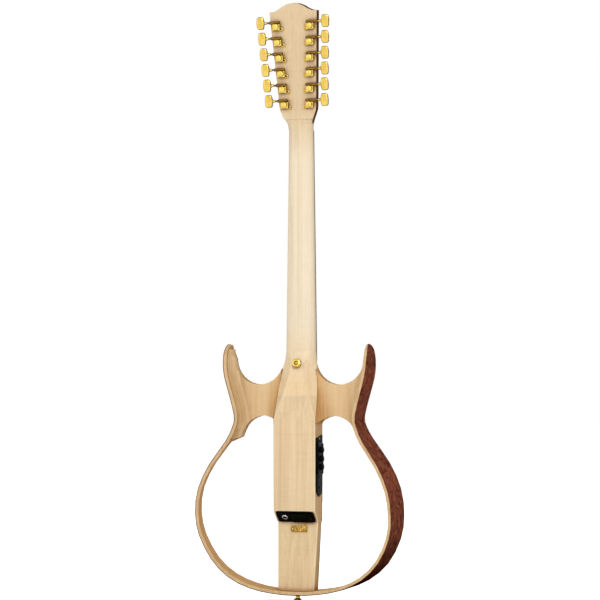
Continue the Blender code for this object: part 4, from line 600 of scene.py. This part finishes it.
def mesh_from(shape):
    bmesh.ops.recalc_face_normals(shape, faces=shape.faces)
    mesh = bpy.data.meshes.new("mesh")
    shape.to_mesh(mesh)
    shape.free()
    return mesh


def evaluated(thing):
    """The final mesh of an object, which is then removed."""
    scene.collection.objects.link(thing)
    bpy.context.view_layer.update()
    graph = bpy.context.evaluated_depsgraph_get()
    made = bpy.data.meshes.new_from_object(thing.evaluated_get(graph))
    bpy.data.objects.remove(thing, do_unlink=True)
    return made


def modified(mesh, kind, **settings):
    """The mesh after one modifier."""
    thing = bpy.data.objects.new("working", mesh)
    step = thing.modifiers.new("step", kind)
    for key, value in settings.items():
        setattr(step, key, value)
    return evaluated(thing)


def bevelled(mesh, width=0.0003, segments=2, angle=30.0):
    return modified(
        mesh, "BEVEL", width=width, segments=segments, limit_method="ANGLE",
        angle_limit=radians(angle), use_clamp_overlap=True)


def carved(mesh, tool):
    """The mesh with a tool's shape cut out."""
    thing = bpy.data.objects.new("tool", tool)
    scene.collection.objects.link(thing)
    made = modified(mesh, "BOOLEAN", operation="DIFFERENCE", solver="EXACT", object=thing)
    bpy.data.objects.remove(thing, do_unlink=True)
    return made


def joined(*pairs):
    """One mesh from meshes and their places."""
    shape = bmesh.new()
    for mesh, place in pairs:
        copy = mesh.copy()
        copy.transform(place)
        if place.determinant() < 0:
            copy.flip_normals()
        shape.from_mesh(copy)
        bpy.data.meshes.remove(copy)
    mesh = bpy.data.meshes.new("joined")
    shape.to_mesh(mesh)
    shape.free()
    return mesh


def turned_to(axis):
    return Vector(axis).to_track_quat("Z", "Y").to_matrix().to_4x4()


def block(low, high):
    low, high = Vector(low), Vector(high)
    shape = bmesh.new()
    place = Matrix.Translation((low + high) / 2) @ Matrix.Diagonal((*(high - low), 1))
    bmesh.ops.create_cube(shape, size=1.0, matrix=place)
    return mesh_from(shape)


def lathe(profile, sides=28):
    """Radius and height points turned about +Z."""
    shape = bmesh.new()
    angles = [2 * pi * i / sides for i in range(sides)]
    rings = []
    for radius, height in profile:
        around = angles if radius > 1e-7 else angles[:1]
        rings.append([shape.verts.new((radius * cos(a), radius * sin(a), height)) for a in around])
    for upper, lower in zip(rings, rings[1:]):
        for i in range(sides):
            j = (i + 1) % sides
            corners = [ring[k % len(ring)] for ring, k in ((upper, i), (upper, j), (lower, j), (lower, i))]
            corners = list(dict.fromkeys(corners))
            if len(corners) > 2:
                shape.faces.new(corners)
    return mesh_from(shape)


def rod(radius, start, end, sides=24):
    """A round bar with eased ends."""
    start, end = Vector(start), Vector(end)
    length = (end - start).length
    ease = EASE_SHARE * min(radius, length)
    mesh = lathe((
        (0, length), (radius - ease, length), (radius, length - ease), (radius, ease), (radius - ease, 0),
        (0, 0)), sides)
    mesh.transform(moved(*start) @ turned_to(end - start))
    return mesh


def prism(points, depth):
    """A flat outline in XY, from Z = 0 to the depth."""
    shape = bmesh.new()
    low = [shape.verts.new((x, y, 0)) for x, y in points]
    high = [shape.verts.new((x, y, depth)) for x, y in points]
    shape.faces.new(low)
    shape.faces.new(high)
    for i in range(len(points)):
        j = (i + 1) % len(points)
        shape.faces.new((low[i], low[j], high[j], high[i]))
    return mesh_from(shape)


def ring_points(radius, count, wave=0.0, waves=0):
    """Points on a circle whose radius may swing in and out."""
    points = []
    for i in range(count):
        a = 2 * pi * i / count
        r = radius * (1 + wave * cos(waves * a))
        points.append((r * cos(a), r * sin(a)))
    return points


def rounded_box(half_x, half_y, corner, steps=6):
    points = []
    for k, (sx, sy) in enumerate(((1, 1), (-1, 1), (-1, -1), (1, -1))):
        for i in range(steps + 1):
            a = pi / 2 * (k + i / steps)
            points.append((
                sx * (half_x - corner) + corner * cos(a), sy * (half_y - corner) + corner * sin(a)))
    return points


def plus_points(reach, half):
    """Outline of a cross recess."""
    return [
        (reach, half), (half, half), (half, reach), (-half, reach), (-half, half), (-reach, half),
        (-reach, -half), (-half, -half), (-half, -reach), (half, -reach), (half, -half), (reach, -half)]


def screw_head(radius, height=0.0008):
    """Domed screw head with a cross recess, on the plane Z = 0."""
    angles = [radians(a) for a in range(0, 91, 15)]
    dome = [(radius * sin(a), height * cos(a)) for a in angles]
    head = lathe([*dome, (radius, -SCREW_SINK), (0, -SCREW_SINK)], sides=24)
    recess = prism(plus_points(radius * RECESS_REACH, radius * RECESS_HALF), depth=height * 2)
    recess.transform(moved(0, 0, height * RECESS_FLOOR))
    return carved(head, recess)


def wire(name, points, radius, look, body=BODY, resolution=3):
    """A round wire through points, as a mesh."""
    curve = bpy.data.curves.new(name, "CURVE")
    curve.dimensions = "3D"
    curve.bevel_depth = radius
    curve.bevel_resolution = resolution
    curve.use_fill_caps = True
    spline = curve.splines.new("POLY")
    spline.points.add(len(points) - 1)
    for point, place in zip(spline.points, points):
        point.co = (*place, 1.0)
    shape = bmesh.new()
    shape.from_mesh(evaluated(bpy.data.objects.new("working", curve)))
    bmesh.ops.remove_doubles(shape, verts=shape.verts, dist=0.000001)
    return piece(name, mesh_from(shape), look, body, angle=50.0)


def finished(node, look, width=0.0006, segments=2, angle=30.0, body=BODY):
    """A copy of a solid with eased edges, which stands for it."""
    shape = bmesh.new()
    shape.from_mesh(NODES[node].data)
    bmesh.ops.remove_doubles(shape, verts=shape.verts, dist=0.00002)
    bmesh.ops.dissolve_limit(
        shape, angle_limit=radians(1.0), verts=shape.verts, edges=shape.edges, delimit=set())
    mesh = bevelled(mesh_from(shape), width, segments, angle)
    return piece(node + "_finished", mesh, look, body, (node,), angle=40.0)


def dressed(node, look, angle=32.0):
    """Keeps a solid and gives it a better material."""
    thing = NODES[node]
    thing.material_slots[0].material = look
    return shaded(thing, angle)


def at(place, *meshes):
    """One mesh of meshes that share a place."""
    return joined(*[(mesh, place) for mesh in meshes])


def copies(mesh, places):
    """One mesh of copies at places."""
    return joined(*[(mesh, place) for place in places])


def head_place(x, y, z):
    """Place in the headstock's frame."""
    return HEAD @ moved(x, y, z)


# Wood

# Top faces of the box: how far they face up, and how far below its highest point they lie
TOP_FACING, TOP_BAND = 0.9, 0.02


def add_wood():
    """Eased copies of plain blocks, new looks for bent and dished pieces."""
    for node, look, slot in (
            ("body_box", BOX_WOOD, "maple"), ("tail_plank", PLANK_WOOD, "maple"),
            ("tail_facing", TOP_LOOK, "brown_veneer"), ("headstock_veneer", DARK_WOOD, "rosewood")):
        finished(node, look, width=0.0004)
    for node, look in (
            ("wing_bass", WING_WOOD), ("wing_treble", WING_WOOD), ("rim_bass", RIM_WOOD),
            ("rim_treble", RIM_WOOD), ("rim_veneer", VENEER), ("top_plate", TOP_LOOK), ("neck", NECK_WOOD)):
        dressed(node, look, angle=25.0)
    for node in ("truss_rod", "pickup_strip", "battery"):
        dressed(node, STEEL)


def add_glue_line():
    """Thin wood in the joint between heel and box."""
    shape = bmesh.new()
    shape.from_mesh(NODES["body_box"].data)
    top = max(vert.co.z for vert in shape.verts)
    others = [
        face for face in shape.faces
        if face.normal.z < TOP_FACING or face.calc_center_median().z < top - TOP_BAND]
    bmesh.ops.delete(shape, geom=others, context="FACES")
    sheet = bmesh.ops.extrude_face_region(shape, geom=list(shape.faces))["geom"]
    bmesh.ops.translate(shape, vec=(0, 0, GAP), verts=[v for v in sheet if isinstance(v, bmesh.types.BMVert)])
    piece("glue_line", mesh_from(shape), BOX_WOOD)


# Fingerboard

def neck_half_width(z):
    return NUT_HALF_WIDTH - NECK_SPREAD * z


def fret_height(n):
    return -SCALE_LENGTH * (1 - 2 ** (-n / SEMITONES))


def add_fingerboard():
    """Eased board, crowned frets, position dots and nut."""
    finished("fretboard", DARK_WOOD, width=0.0005)
    angles = [radians(a) for a in range(0, 181, 18)]
    crowned = [(FRET_CROWN * cos(a), FRET_CROWN * sin(a)) for a in angles]
    frets = []
    for n in range(1, FRET_COUNT + 1):
        reach = neck_half_width(fret_height(n)) - FRET_END_GAP
        seat = moved(-reach, BOARD_TOP + HAIR, fret_height(n))
        crown = bevelled(prism(crowned, depth=2 * reach), width=0.0004, segments=1, angle=60.0)
        frets.append((crown, seat @ Matrix.Rotation(pi / 2, 4, "Y")))
    piece("frets_crowned", joined(*frets), STEEL, replaces=("frets",))
    places = []
    for n in DOT_FRETS:
        middle = (fret_height(n) + fret_height(n - 1)) / 2
        for x in ((-DOUBLE_DOT_REACH, DOUBLE_DOT_REACH) if n == DOUBLE_DOT_FRET else (0.0,)):
            places.append(moved(x, BOARD_TOP, middle) @ FORWARD)
    piece("position_dots", copies(lathe(DOT_PROFILE), places), PEARL)
    finished("nut", BONE, width=0.0002, segments=1)


# Strings

def string_rows():
    """Radius and place at nut and saddle of each string, bass side first."""
    rows = []
    for course, radii in enumerate(STRING_RADII):
        middle = (len(STRING_RADII) - 1) / 2 - course
        for k, radius in enumerate(radii):
            rows.append((radius, *[
                middle * spacing + (0.5 - k) * gap for spacing, gap in zip(COURSE_SPACING, PAIR_GAP)]))
    return rows


def tuner_places():
    """Number, side and place of each post, from the nut up, bass side first."""
    places = []
    for side in (1, -1):
        for row in range(TUNER_ROWS):
            x, z = POST_HALF_SPACING + POST_SPREAD * row, TUNER_FIRST + TUNER_PITCH * row
            places.append((len(places) + 1, side, side * x, z))
    return places


STRINGS = string_rows()
TUNERS = tuner_places()


def pin_x(index):
    """Place across of the bridge pin that holds a string."""
    middle = (len(STRING_RADII) - 1) / 2 - index // 2
    return middle * COURSE_SPACING[1] + (0.5 - index % 2) * PIN_PAIR_GAP


def post_end(x_nut, turn, radius, side, x, z):
    """Where a string meets its turns on the post, in the headstock's frame."""
    start = HEAD.inverted() @ Vector((x_nut, STRING_Y_NUT, NUT_THICKNESS))
    to_post = Vector((x - start.x, z - start.z))
    spread = side * asin((turn + 2 * radius + WIRE_CLEARANCE) / to_post.length)
    run = to_post.length * cos(spread)
    heading = Matrix.Rotation(spread, 2) @ to_post.normalized()
    return Vector((start.x + heading.x * run, WIND_HEIGHT, start.z + heading.y * run))


def coil_points(end, turn, radius, side, x, z):
    """Turns of a string round its post and up into its eye, in the headstock's frame."""
    phase = atan2(end.z - z, end.x - x)
    coil = []
    for i in range((2 if radius > THICK_STRING else 4) * TURN_STEPS + 1):
        a = phase - side * 2 * pi * i / TURN_STEPS
        y = WIND_HEIGHT + TURN_PITCH * radius * i / TURN_STEPS
        coil.append(Vector((x + turn * cos(a), y, z + turn * sin(a))))
    last = coil[-1]
    for share in EYE_SHARES:
        a = phase - side * pi / 2 * share
        y = last.y + (POST_EYE - last.y) * share
        coil.append(Vector((x + turn * cos(a), y, z + turn * sin(a))))
    coil.append(Vector((x, POST_EYE, z)))
    return coil


def add_strings():
    """Each string from its bridge pin over saddle and nut to its post, and its turns there."""
    for index, (radius, x_nut, x_saddle) in enumerate(STRINGS):
        number, side, x, z = TUNERS[index if index < TUNER_ROWS else 3 * TUNER_ROWS - 1 - index]
        look = BRONZE if radius > WOUND_FROM else STEEL
        turn = POST_WAIST + radius
        end = post_end(x_nut, turn, radius, side, x, z)
        pin_z = PIN_ROWS[index % 2]
        saddle_y, saddle_z = STRING_Y_SADDLE - SADDLE_START[0], -SCALE_LENGTH - SADDLE_START[1]
        route = [
            Vector((pin_x(index), BRIDGE_TOP + PIN_EXIT[0], pin_z + PIN_EXIT[1])),
            Vector((pin_x(index), BRIDGE_TOP + radius, pin_z + BRIDGE_EXIT_Z)),
            Vector((x_saddle, saddle_y, saddle_z)),
            Vector((x_saddle, STRING_Y_SADDLE, -SCALE_LENGTH)),
            Vector((x_nut, STRING_Y_NUT, NUT_THICKNESS)),
            HEAD @ end]
        made = wire(f"string_{index + 1:02d}", route, radius, look)
        if index == 0:
            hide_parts("strings")
        coil = [HEAD @ point for point in coil_points(end, turn, radius, side, x, z)]
        wire(f"winding_{number:02d}", coil, radius, look, f"post_{number:02d}", resolution=2)


# Tuners

def housing_pieces():
    """Shell, barrel, screw and bushing of a bass side tuner about its post."""
    out = moved(0, HEAD_BACK, 0) @ BACKWARD
    half, axis_y = HOUSING_HALF - HAIR, HEAD_BACK - WORM_HEIGHT
    plate = bevelled(prism(rounded_box(half, half, PLATE_CORNER), PLATE_THICKNESS))
    outline = rounded_box(half - COVER_INSET[0], half - COVER_INSET[1], COVER_CORNER)
    cover = bevelled(prism([(x, y - COVER_DROP) for x, y in outline], COVER_HEIGHT), width=0.0006, segments=3)
    cap = lathe(CAP_PROFILE, sides=40)
    cap.transform(moved(0, -CAP_DROP, 0))
    lug_x, lug_z = LUG_OFFSET
    angles = [radians(a) for a in range(285, 94, -10)]
    arc = [(lug_x + LUG_RADIUS * cos(a), lug_z + LUG_RADIUS * sin(a)) for a in angles]
    lug = bevelled(prism([LUG_CORNERS[0], *arc, LUG_CORNERS[1]], LUG_THICKNESS))
    rods = [
        rod(radius, (start, axis_y, WORM_OFFSET), (end, axis_y, WORM_OFFSET), sides=28)
        for radius, start, end in (BARREL, BARREL_COLLAR)]
    inner, outer, below, above = BARREL_SEAT
    seat = block((inner, axis_y, WORM_OFFSET + below), (outer, HEAD_BACK, WORM_OFFSET + above))
    barrel = at(PLAIN, *rods, seat)
    shell = at(out, plate, cover, cap, lug)
    screw = at(out @ moved(lug_x, lug_z, LUG_THICKNESS), screw_head(LUG_SCREW))
    radius, height = BUSHING_HEX
    hexagon = bevelled(prism(ring_points(radius, count=6), height))
    bushing = at(FORWARD, lathe(BUSHING_PROFILE, sides=36), hexagon)
    return shell, barrel, screw, bushing


def button_mesh():
    """Grip and collar of a button about its shaft's axis; local +X is outward."""
    half_x, half_z, half_y = [size / 2 for size in BUTTON_SIZE]
    points = [(half_x * x, half_z * z) for x, z in BUTTON_OUTLINE]
    points += [(-x * BUTTON_INNER_SHARE, z) for x, z in reversed(points)]
    grip = bevelled(prism(points, depth=2 * half_y), width=0.0027, segments=5, angle=40.0)
    grip.transform(moved(BUTTON_REACH, half_y, 0) @ BACKWARD)
    collar = lathe(COLLAR_PROFILE)
    collar.transform(moved(BUTTON_REACH - half_x - COLLAR_OFFSET, 0, 0) @ turned_to((1, 0, 0)))
    return grip, collar


def add_tuners():
    """Housing, barrel, screw, bushing, button, shaft and post of each tuner."""
    shell, barrel, screw, bushing = housing_pieces()
    grip, collar = button_mesh()
    shaft = rod(SHAFT_RADIUS, (SHAFT_START, 0, 0), (BUTTON_REACH - COLLAR_OFFSET, 0, 0), sides=20)
    cap_screw = screw_head(LUG_SCREW, LOW_HEAD)
    cap_screw.transform(moved(BUTTON_REACH + BUTTON_SIZE[0] / 2 - GAP, 0, 0) @ turned_to((1, 0, 0)))
    hole = rod(HOLE_RADIUS, (0, -HOLE_REACH, POST_EYE), (0, HOLE_REACH, POST_EYE), sides=12)
    post = carved(lathe(POST_PROFILE), hole)
    for number, side, x, z in TUNERS:
        turn = PLAIN if side > 0 else FLIP
        place = head_place(x, 0, z) @ turn
        row = "tuner_housings_bass" if side > 0 else "tuner_housings_treble"
        stands_for = (row,) if number in (1, TUNER_ROWS + 1) else ()
        piece(f"gear_housing_{number:02d}", at(place, shell), GOLD, replaces=stands_for, angle=40.0)
        piece(f"worm_barrel_{number:02d}", at(place, barrel), GOLD_SHADED, angle=40.0)
        piece(f"housing_screw_{number:02d}", at(place, screw), GOLD_SOFT)
        piece(f"bushing_{number:02d}", at(place, bushing), GOLD)
        axis = head_place(x, HEAD_BACK - WORM_HEIGHT, z + WORM_OFFSET) @ turn
        button = at(axis, grip, collar)
        body = f"button_{number:02d}"
        node = f"tuner_button_{number:02d}"
        piece(f"button_grip_{number:02d}", button, GOLD, body, (node,), angle=40.0)
        piece(f"worm_shaft_{number:02d}", at(axis, shaft), GOLD_SHADED, body)
        piece(f"button_screw_{number:02d}", at(axis, cap_screw), GOLD_SOFT, body)
        axis = head_place(x, 0, z) @ FORWARD
        body, node = f"post_{number:02d}", f"tuner_post_{number:02d}"
        piece(f"string_post_{number:02d}", at(axis, post), GOLD, body, (node,))


# Bridge

def add_bridge():
    """Eased bridge and saddle, turned pins with dark eyes."""
    finished("bridge", DARK_WOOD, width=0.0009, segments=3)
    finished("saddle", BONE, width=0.0004)
    places = [moved(pin_x(i), BRIDGE_TOP, PIN_ROWS[i % 2]) @ FORWARD for i in range(len(STRINGS))]
    piece("pins_turned", copies(lathe(PIN_PROFILE), places), BONE, replaces=("bridge_pins",))
    piece("pin_eyes", copies(lathe(PIN_EYE_PROFILE, sides=16), places), BLACK_GLOSS)


# Strap buttons

def add_strap_buttons():
    """Turned button, felt washer and screw at heel and tail."""
    button = lathe(STRAP_PROFILE, sides=44)
    washer = lathe(WASHER_PROFILE, sides=40)
    screw = screw_head(STRAP_SCREW, height=0.0009)
    for node, (middle, outward) in (("strap_button_heel", HEEL_STRAP), ("strap_button_tail", TAIL_STRAP)):
        place = moved(*middle) @ turned_to(outward)
        piece(node + "_turned", at(place, button), GOLD, replaces=(node,))
        piece(node + "_washer", at(place, washer), FELT)
        top = place @ moved(0, 0, STRAP_HEIGHT - STRAP_SCREW_SINK)
        piece(node + "_screw", at(top, screw), GOLD_SOFT)


# Preamp

def side_place(x, z):
    """Frame on the preamp's face: local +Z outward to the bass side."""
    return moved(x, PREAMP_MIDDLE, z) @ SIDEWAYS


def flange_points():
    """Preamp flange: its upper edge leans down to the back, and its foot is round."""
    points = list(FLANGE_CORNERS)
    for i in range(FOOT_STEPS + 1):
        a = pi * (1 + i / FOOT_STEPS)
        points.append((FLANGE_HALF * cos(a), FLANGE_FOOT + FLANGE_HALF + FLANGE_HALF * sin(a)))
    return points


def preamp_shell():
    """Flange, raised panel, tray of the key and the chassis inside."""
    base = bevelled(prism(flange_points(), PREAMP_FACE - PREAMP_SEAT), width=0.0006)
    base.transform(moved(PREAMP_SEAT, PREAMP_MIDDLE, 0) @ SIDEWAYS)
    panel = prism(rounded_box(*PANEL), PREAMP_RAISED - PREAMP_FACE + PREAMP_LAP)
    panel = bevelled(panel, width=0.0008, segments=3)
    panel.transform(side_place(PREAMP_FACE - PREAMP_LAP, PANEL_Z))
    tray = bevelled(prism(rounded_box(*TRAY), TRAY_THICKNESS), width=0.0002, segments=1)
    tray.transform(side_place(PREAMP_FACE, TRAY_Z))
    chassis = bevelled(block(*CHASSIS), width=0.0008)
    return at(PLAIN, base, panel, tray, chassis)


def add_preamp():
    """Shell, ribbed knobs with pointers, key with its bezel, panel border and screws."""
    piece("preamp_shell", preamp_shell(), BLACK, replaces=("preamp_housing",))
    skirt = bevelled(prism(ring_points(KNOB_RADIUS, 96, *KNOB_RIBS), KNOB_HEIGHT))
    knob = joined((skirt, moved(0, 0, GAP)), (lathe(CROWN_PROFILE, sides=36), PLAIN))
    pointer = bevelled(block(*POINTER), width=0.0001, segments=1)
    for node, z in KNOBS:
        place = side_place(PREAMP_RAISED, z)
        piece(node + "_ribbed", at(place, knob), GREY, node, (node,), angle=25.0)
        piece(node + "_pointer", at(place, pointer), MARK, node)
    place = side_place(PREAMP_FACE, KEY_Z)
    cap = at(place, lathe(KEY_PROFILE, sides=32))
    piece("preamp_key_cap", cap, GREY, "preamp_key", ("preamp_key",))
    piece("key_bezel", at(place, lathe(BEZEL_PROFILE, sides=36)), BLACK_GLOSS)
    rail = bevelled(prism(rounded_box(*BORDER), BORDER_HEIGHT), width=0.0002, segments=1)
    hollow = prism(rounded_box(*BORDER_HOLLOW), depth=4 * BORDER_HEIGHT)
    hollow.transform(moved(0, 0, -BORDER_HEIGHT))
    border = carved(rail, hollow)
    border.transform(side_place(PREAMP_RAISED, PANEL_Z))
    piece("control_border", border, BLACK_GLOSS)
    spots = [side_place(PREAMP_FACE, z) for z in PREAMP_SCREWS_Z]
    piece("preamp_screws", copies(screw_head(radius=0.0016, height=LOW_HEAD), spots), STEEL)


# End panel, jack, battery door and catch

def add_end():
    """Panel with its screws, the door with finger ridges, and the jack with its nut."""
    finished("end_panel", BLACK_GLOSS)
    finished("battery_door", BLACK_GLOSS, width=0.0005, body="battery_door")
    spots = [END_FACE @ moved(DOOR_X, y, DOOR_TOP - HAIR) for y in RIDGES_Y]
    ridges = copies(bevelled(block(*RIDGE), width=0.0002, segments=1), spots)
    piece("door_ridges", ridges, BLACK_GLOSS, "battery_door")
    jack = END_FACE @ moved(JACK_X, 0, PANEL_OUT + GAP)
    piece("jack_ring", at(jack, lathe(JACK_PROFILE, sides=40)), CHROME, replaces=("output_jack",))
    radius, height = JACK_NUT
    nut = carved(prism(ring_points(radius, count=6), height), lathe(JACK_HOLE, sides=24))
    piece("jack_nut", at(jack, bevelled(nut)), CHROME)
    spots = [END_FACE @ moved(x, y, PANEL_OUT) for x in PANEL_SCREWS[0] for y in PANEL_SCREWS[1]]
    piece("panel_screws", copies(screw_head(radius=0.0015, height=LOW_HEAD), spots), BLACK)


def add_catch():
    """Catch plate with its backing and screw, and the slider with its stud."""
    finished("catch_plate", GOLD_CHASED, width=0.0003)
    backing = bevelled(block(*BACKING), width=0.0001, segments=1)
    piece("catch_backing", at(CATCH, backing), GOLD_CHASED)
    finished("catch_slider", GOLD_SOFT, width=0.0003, body="catch_slider")
    spot = CATCH @ moved(*CATCH_SCREW_PLACE)
    screw = at(spot @ moved(0, 0, CATCH_WASHER[0][1]), screw_head(radius=0.0020))
    piece("catch_screw", screw, GOLD)
    piece("catch_screw_washer", at(spot, lathe(CATCH_WASHER)), BLACK_GLOSS)
    stud = at(CATCH @ moved(*CATCH_STUD_PLACE), screw_head(radius=0.0016, height=LOW_HEAD))
    piece("catch_stud", stud, GOLD, "catch_slider")


def add_rod_cover():
    """Truss rod cover and its three screws."""
    finished("truss_rod_cover", BLACK_GLOSS, width=0.0003)
    spots = [head_place(x, GAP + ROD_COVER_THICKNESS, z) @ FORWARD for x, z in ROD_COVER_SCREWS]
    piece("cover_screws", copies(screw_head(radius=0.0013, height=0.0005), spots), STEEL)


add_wood()
add_glue_line()
add_fingerboard()
add_strings()
add_tuners()
add_bridge()
add_strap_buttons()
add_preamp()
add_end()
add_catch()
add_rod_cover()

# Camera and light

scene.view_settings.view_transform = "Standard"
AZIMUTH = radians(17.0)
# Small turns of the camera that put the guitar where it stands in the photograph
TILT = 0.02919
PAN = 0.00068
DISTANCE = 4.0
EYE_HEIGHT = -0.424
SENSOR = 36.0
LENS = 132.6
# Place, target, size and power of each lamp
LAMPS = (
    ("key", (1.25, -3.4, 1.3), (0, 0, -0.35), (1.6, 2.0), 80),
    ("fill", (-2.4, -2.4, 0.6), (0, 0, -0.4), (1.6, 2.4), 14),
    ("front", (0.6, 3.2, 1.2), (0, 0, -0.3), (2.0, 2.0), 50))
# Strength of the world as light, and as the camera, gloss and glass see it
WORLD_LIGHT, WORLD_SEEN = 0.42, 1.0
FLOOR_REACH = 12.0
FLOOR_SHADE = 0.85
FLOOR_GLOW = 0.62


def add_camera():
    eye = bpy.data.cameras.new("camera")
    eye.sensor_width = SENSOR
    eye.lens = LENS
    eye.clip_end = 30.0
    camera = bpy.data.objects.new("camera", eye)
    camera.location = (DISTANCE * sin(AZIMUTH), -DISTANCE * cos(AZIMUTH), EYE_HEIGHT)
    camera.rotation_euler = (pi / 2 + TILT, 0, AZIMUTH + PAN)
    scene.collection.objects.link(camera)
    scene.camera = camera


def add_lamps():
    for name, place, target, size, power in LAMPS:
        lamp = bpy.data.lights.new(name, "AREA")
        lamp.shape = "RECTANGLE"
        lamp.size, lamp.size_y = size
        lamp.energy = power
        thing = bpy.data.objects.new(name, lamp)
        thing.location = place
        thing.rotation_euler = (Vector(target) - Vector(place)).to_track_quat("-Z", "Y").to_euler()
        scene.collection.objects.link(thing)


def add_world():
    """Soft even light, seen as plain white by the camera."""
    world = bpy.data.worlds.new("studio")
    scene.world = world
    world.use_nodes = True
    tree = world.node_tree
    for old in list(tree.nodes):
        tree.nodes.remove(old)
    paths = tree.nodes.new("ShaderNodeLightPath")
    choice = tree.nodes.new("ShaderNodeMixShader")
    for slot, strength in ((1, WORLD_LIGHT), (2, WORLD_SEEN)):
        glow = tree.nodes.new("ShaderNodeBackground")
        glow.inputs["Color"].default_value = grey(1.0)
        glow.inputs["Strength"].default_value = strength
        tree.links.new(glow.outputs[0], choice.inputs[slot])
    output = tree.nodes.new("ShaderNodeOutputWorld")
    seen = paths.outputs["Is Camera Ray"]
    for ray in ("Is Glossy Ray", "Is Transmission Ray"):
        either = tree.nodes.new("ShaderNodeMath")
        either.operation = "MAXIMUM"
        tree.links.new(seen, either.inputs[0])
        tree.links.new(paths.outputs[ray], either.inputs[1])
        seen = either.outputs[0]
    tree.links.new(seen, choice.inputs[0])
    tree.links.new(choice.outputs[0], output.inputs[0])


def add_floor():
    """Pale floor that stays white where nothing shades it."""
    mesh = bpy.data.meshes.new("floor")
    corners = [(x * FLOOR_REACH, y * FLOOR_REACH, 0) for x, y in ((-1, -1), (1, -1), (1, 1), (-1, 1))]
    mesh.from_pydata(corners, [], [(0, 1, 2, 3)])
    floor = bpy.data.objects.new("floor", mesh)
    floor.location = (0, 0, cad_bounds[0][2])
    scene.collection.objects.link(floor)
    ground = Look("studio_floor", roughness=0.9)
    ground.shader.inputs["Base Color"].default_value = grey(FLOOR_SHADE)
    glow = ground.node("ShaderNodeEmission", {"Color": grey(1.0), "Strength": FLOOR_GLOW})
    both = ground.node("ShaderNodeAddShader", {0: ground.shader.outputs[0], 1: glow.outputs[0]})
    paths = ground.node("ShaderNodeLightPath").outputs
    seen = ground.math("MAXIMUM", paths["Is Camera Ray"], ground.math(
        "MAXIMUM", paths["Is Glossy Ray"], paths["Is Transmission Ray"]))
    pick = ground.node("ShaderNodeMixShader", {0: seen, 1: ground.shader.outputs[0], 2: both.outputs[0]})
    ground.tree.links.new(pick.outputs[0], ground.tree.nodes["Material Output"].inputs["Surface"])
    mesh.materials.append(ground.made)


add_camera()
add_lamps()
add_world()
add_floor()
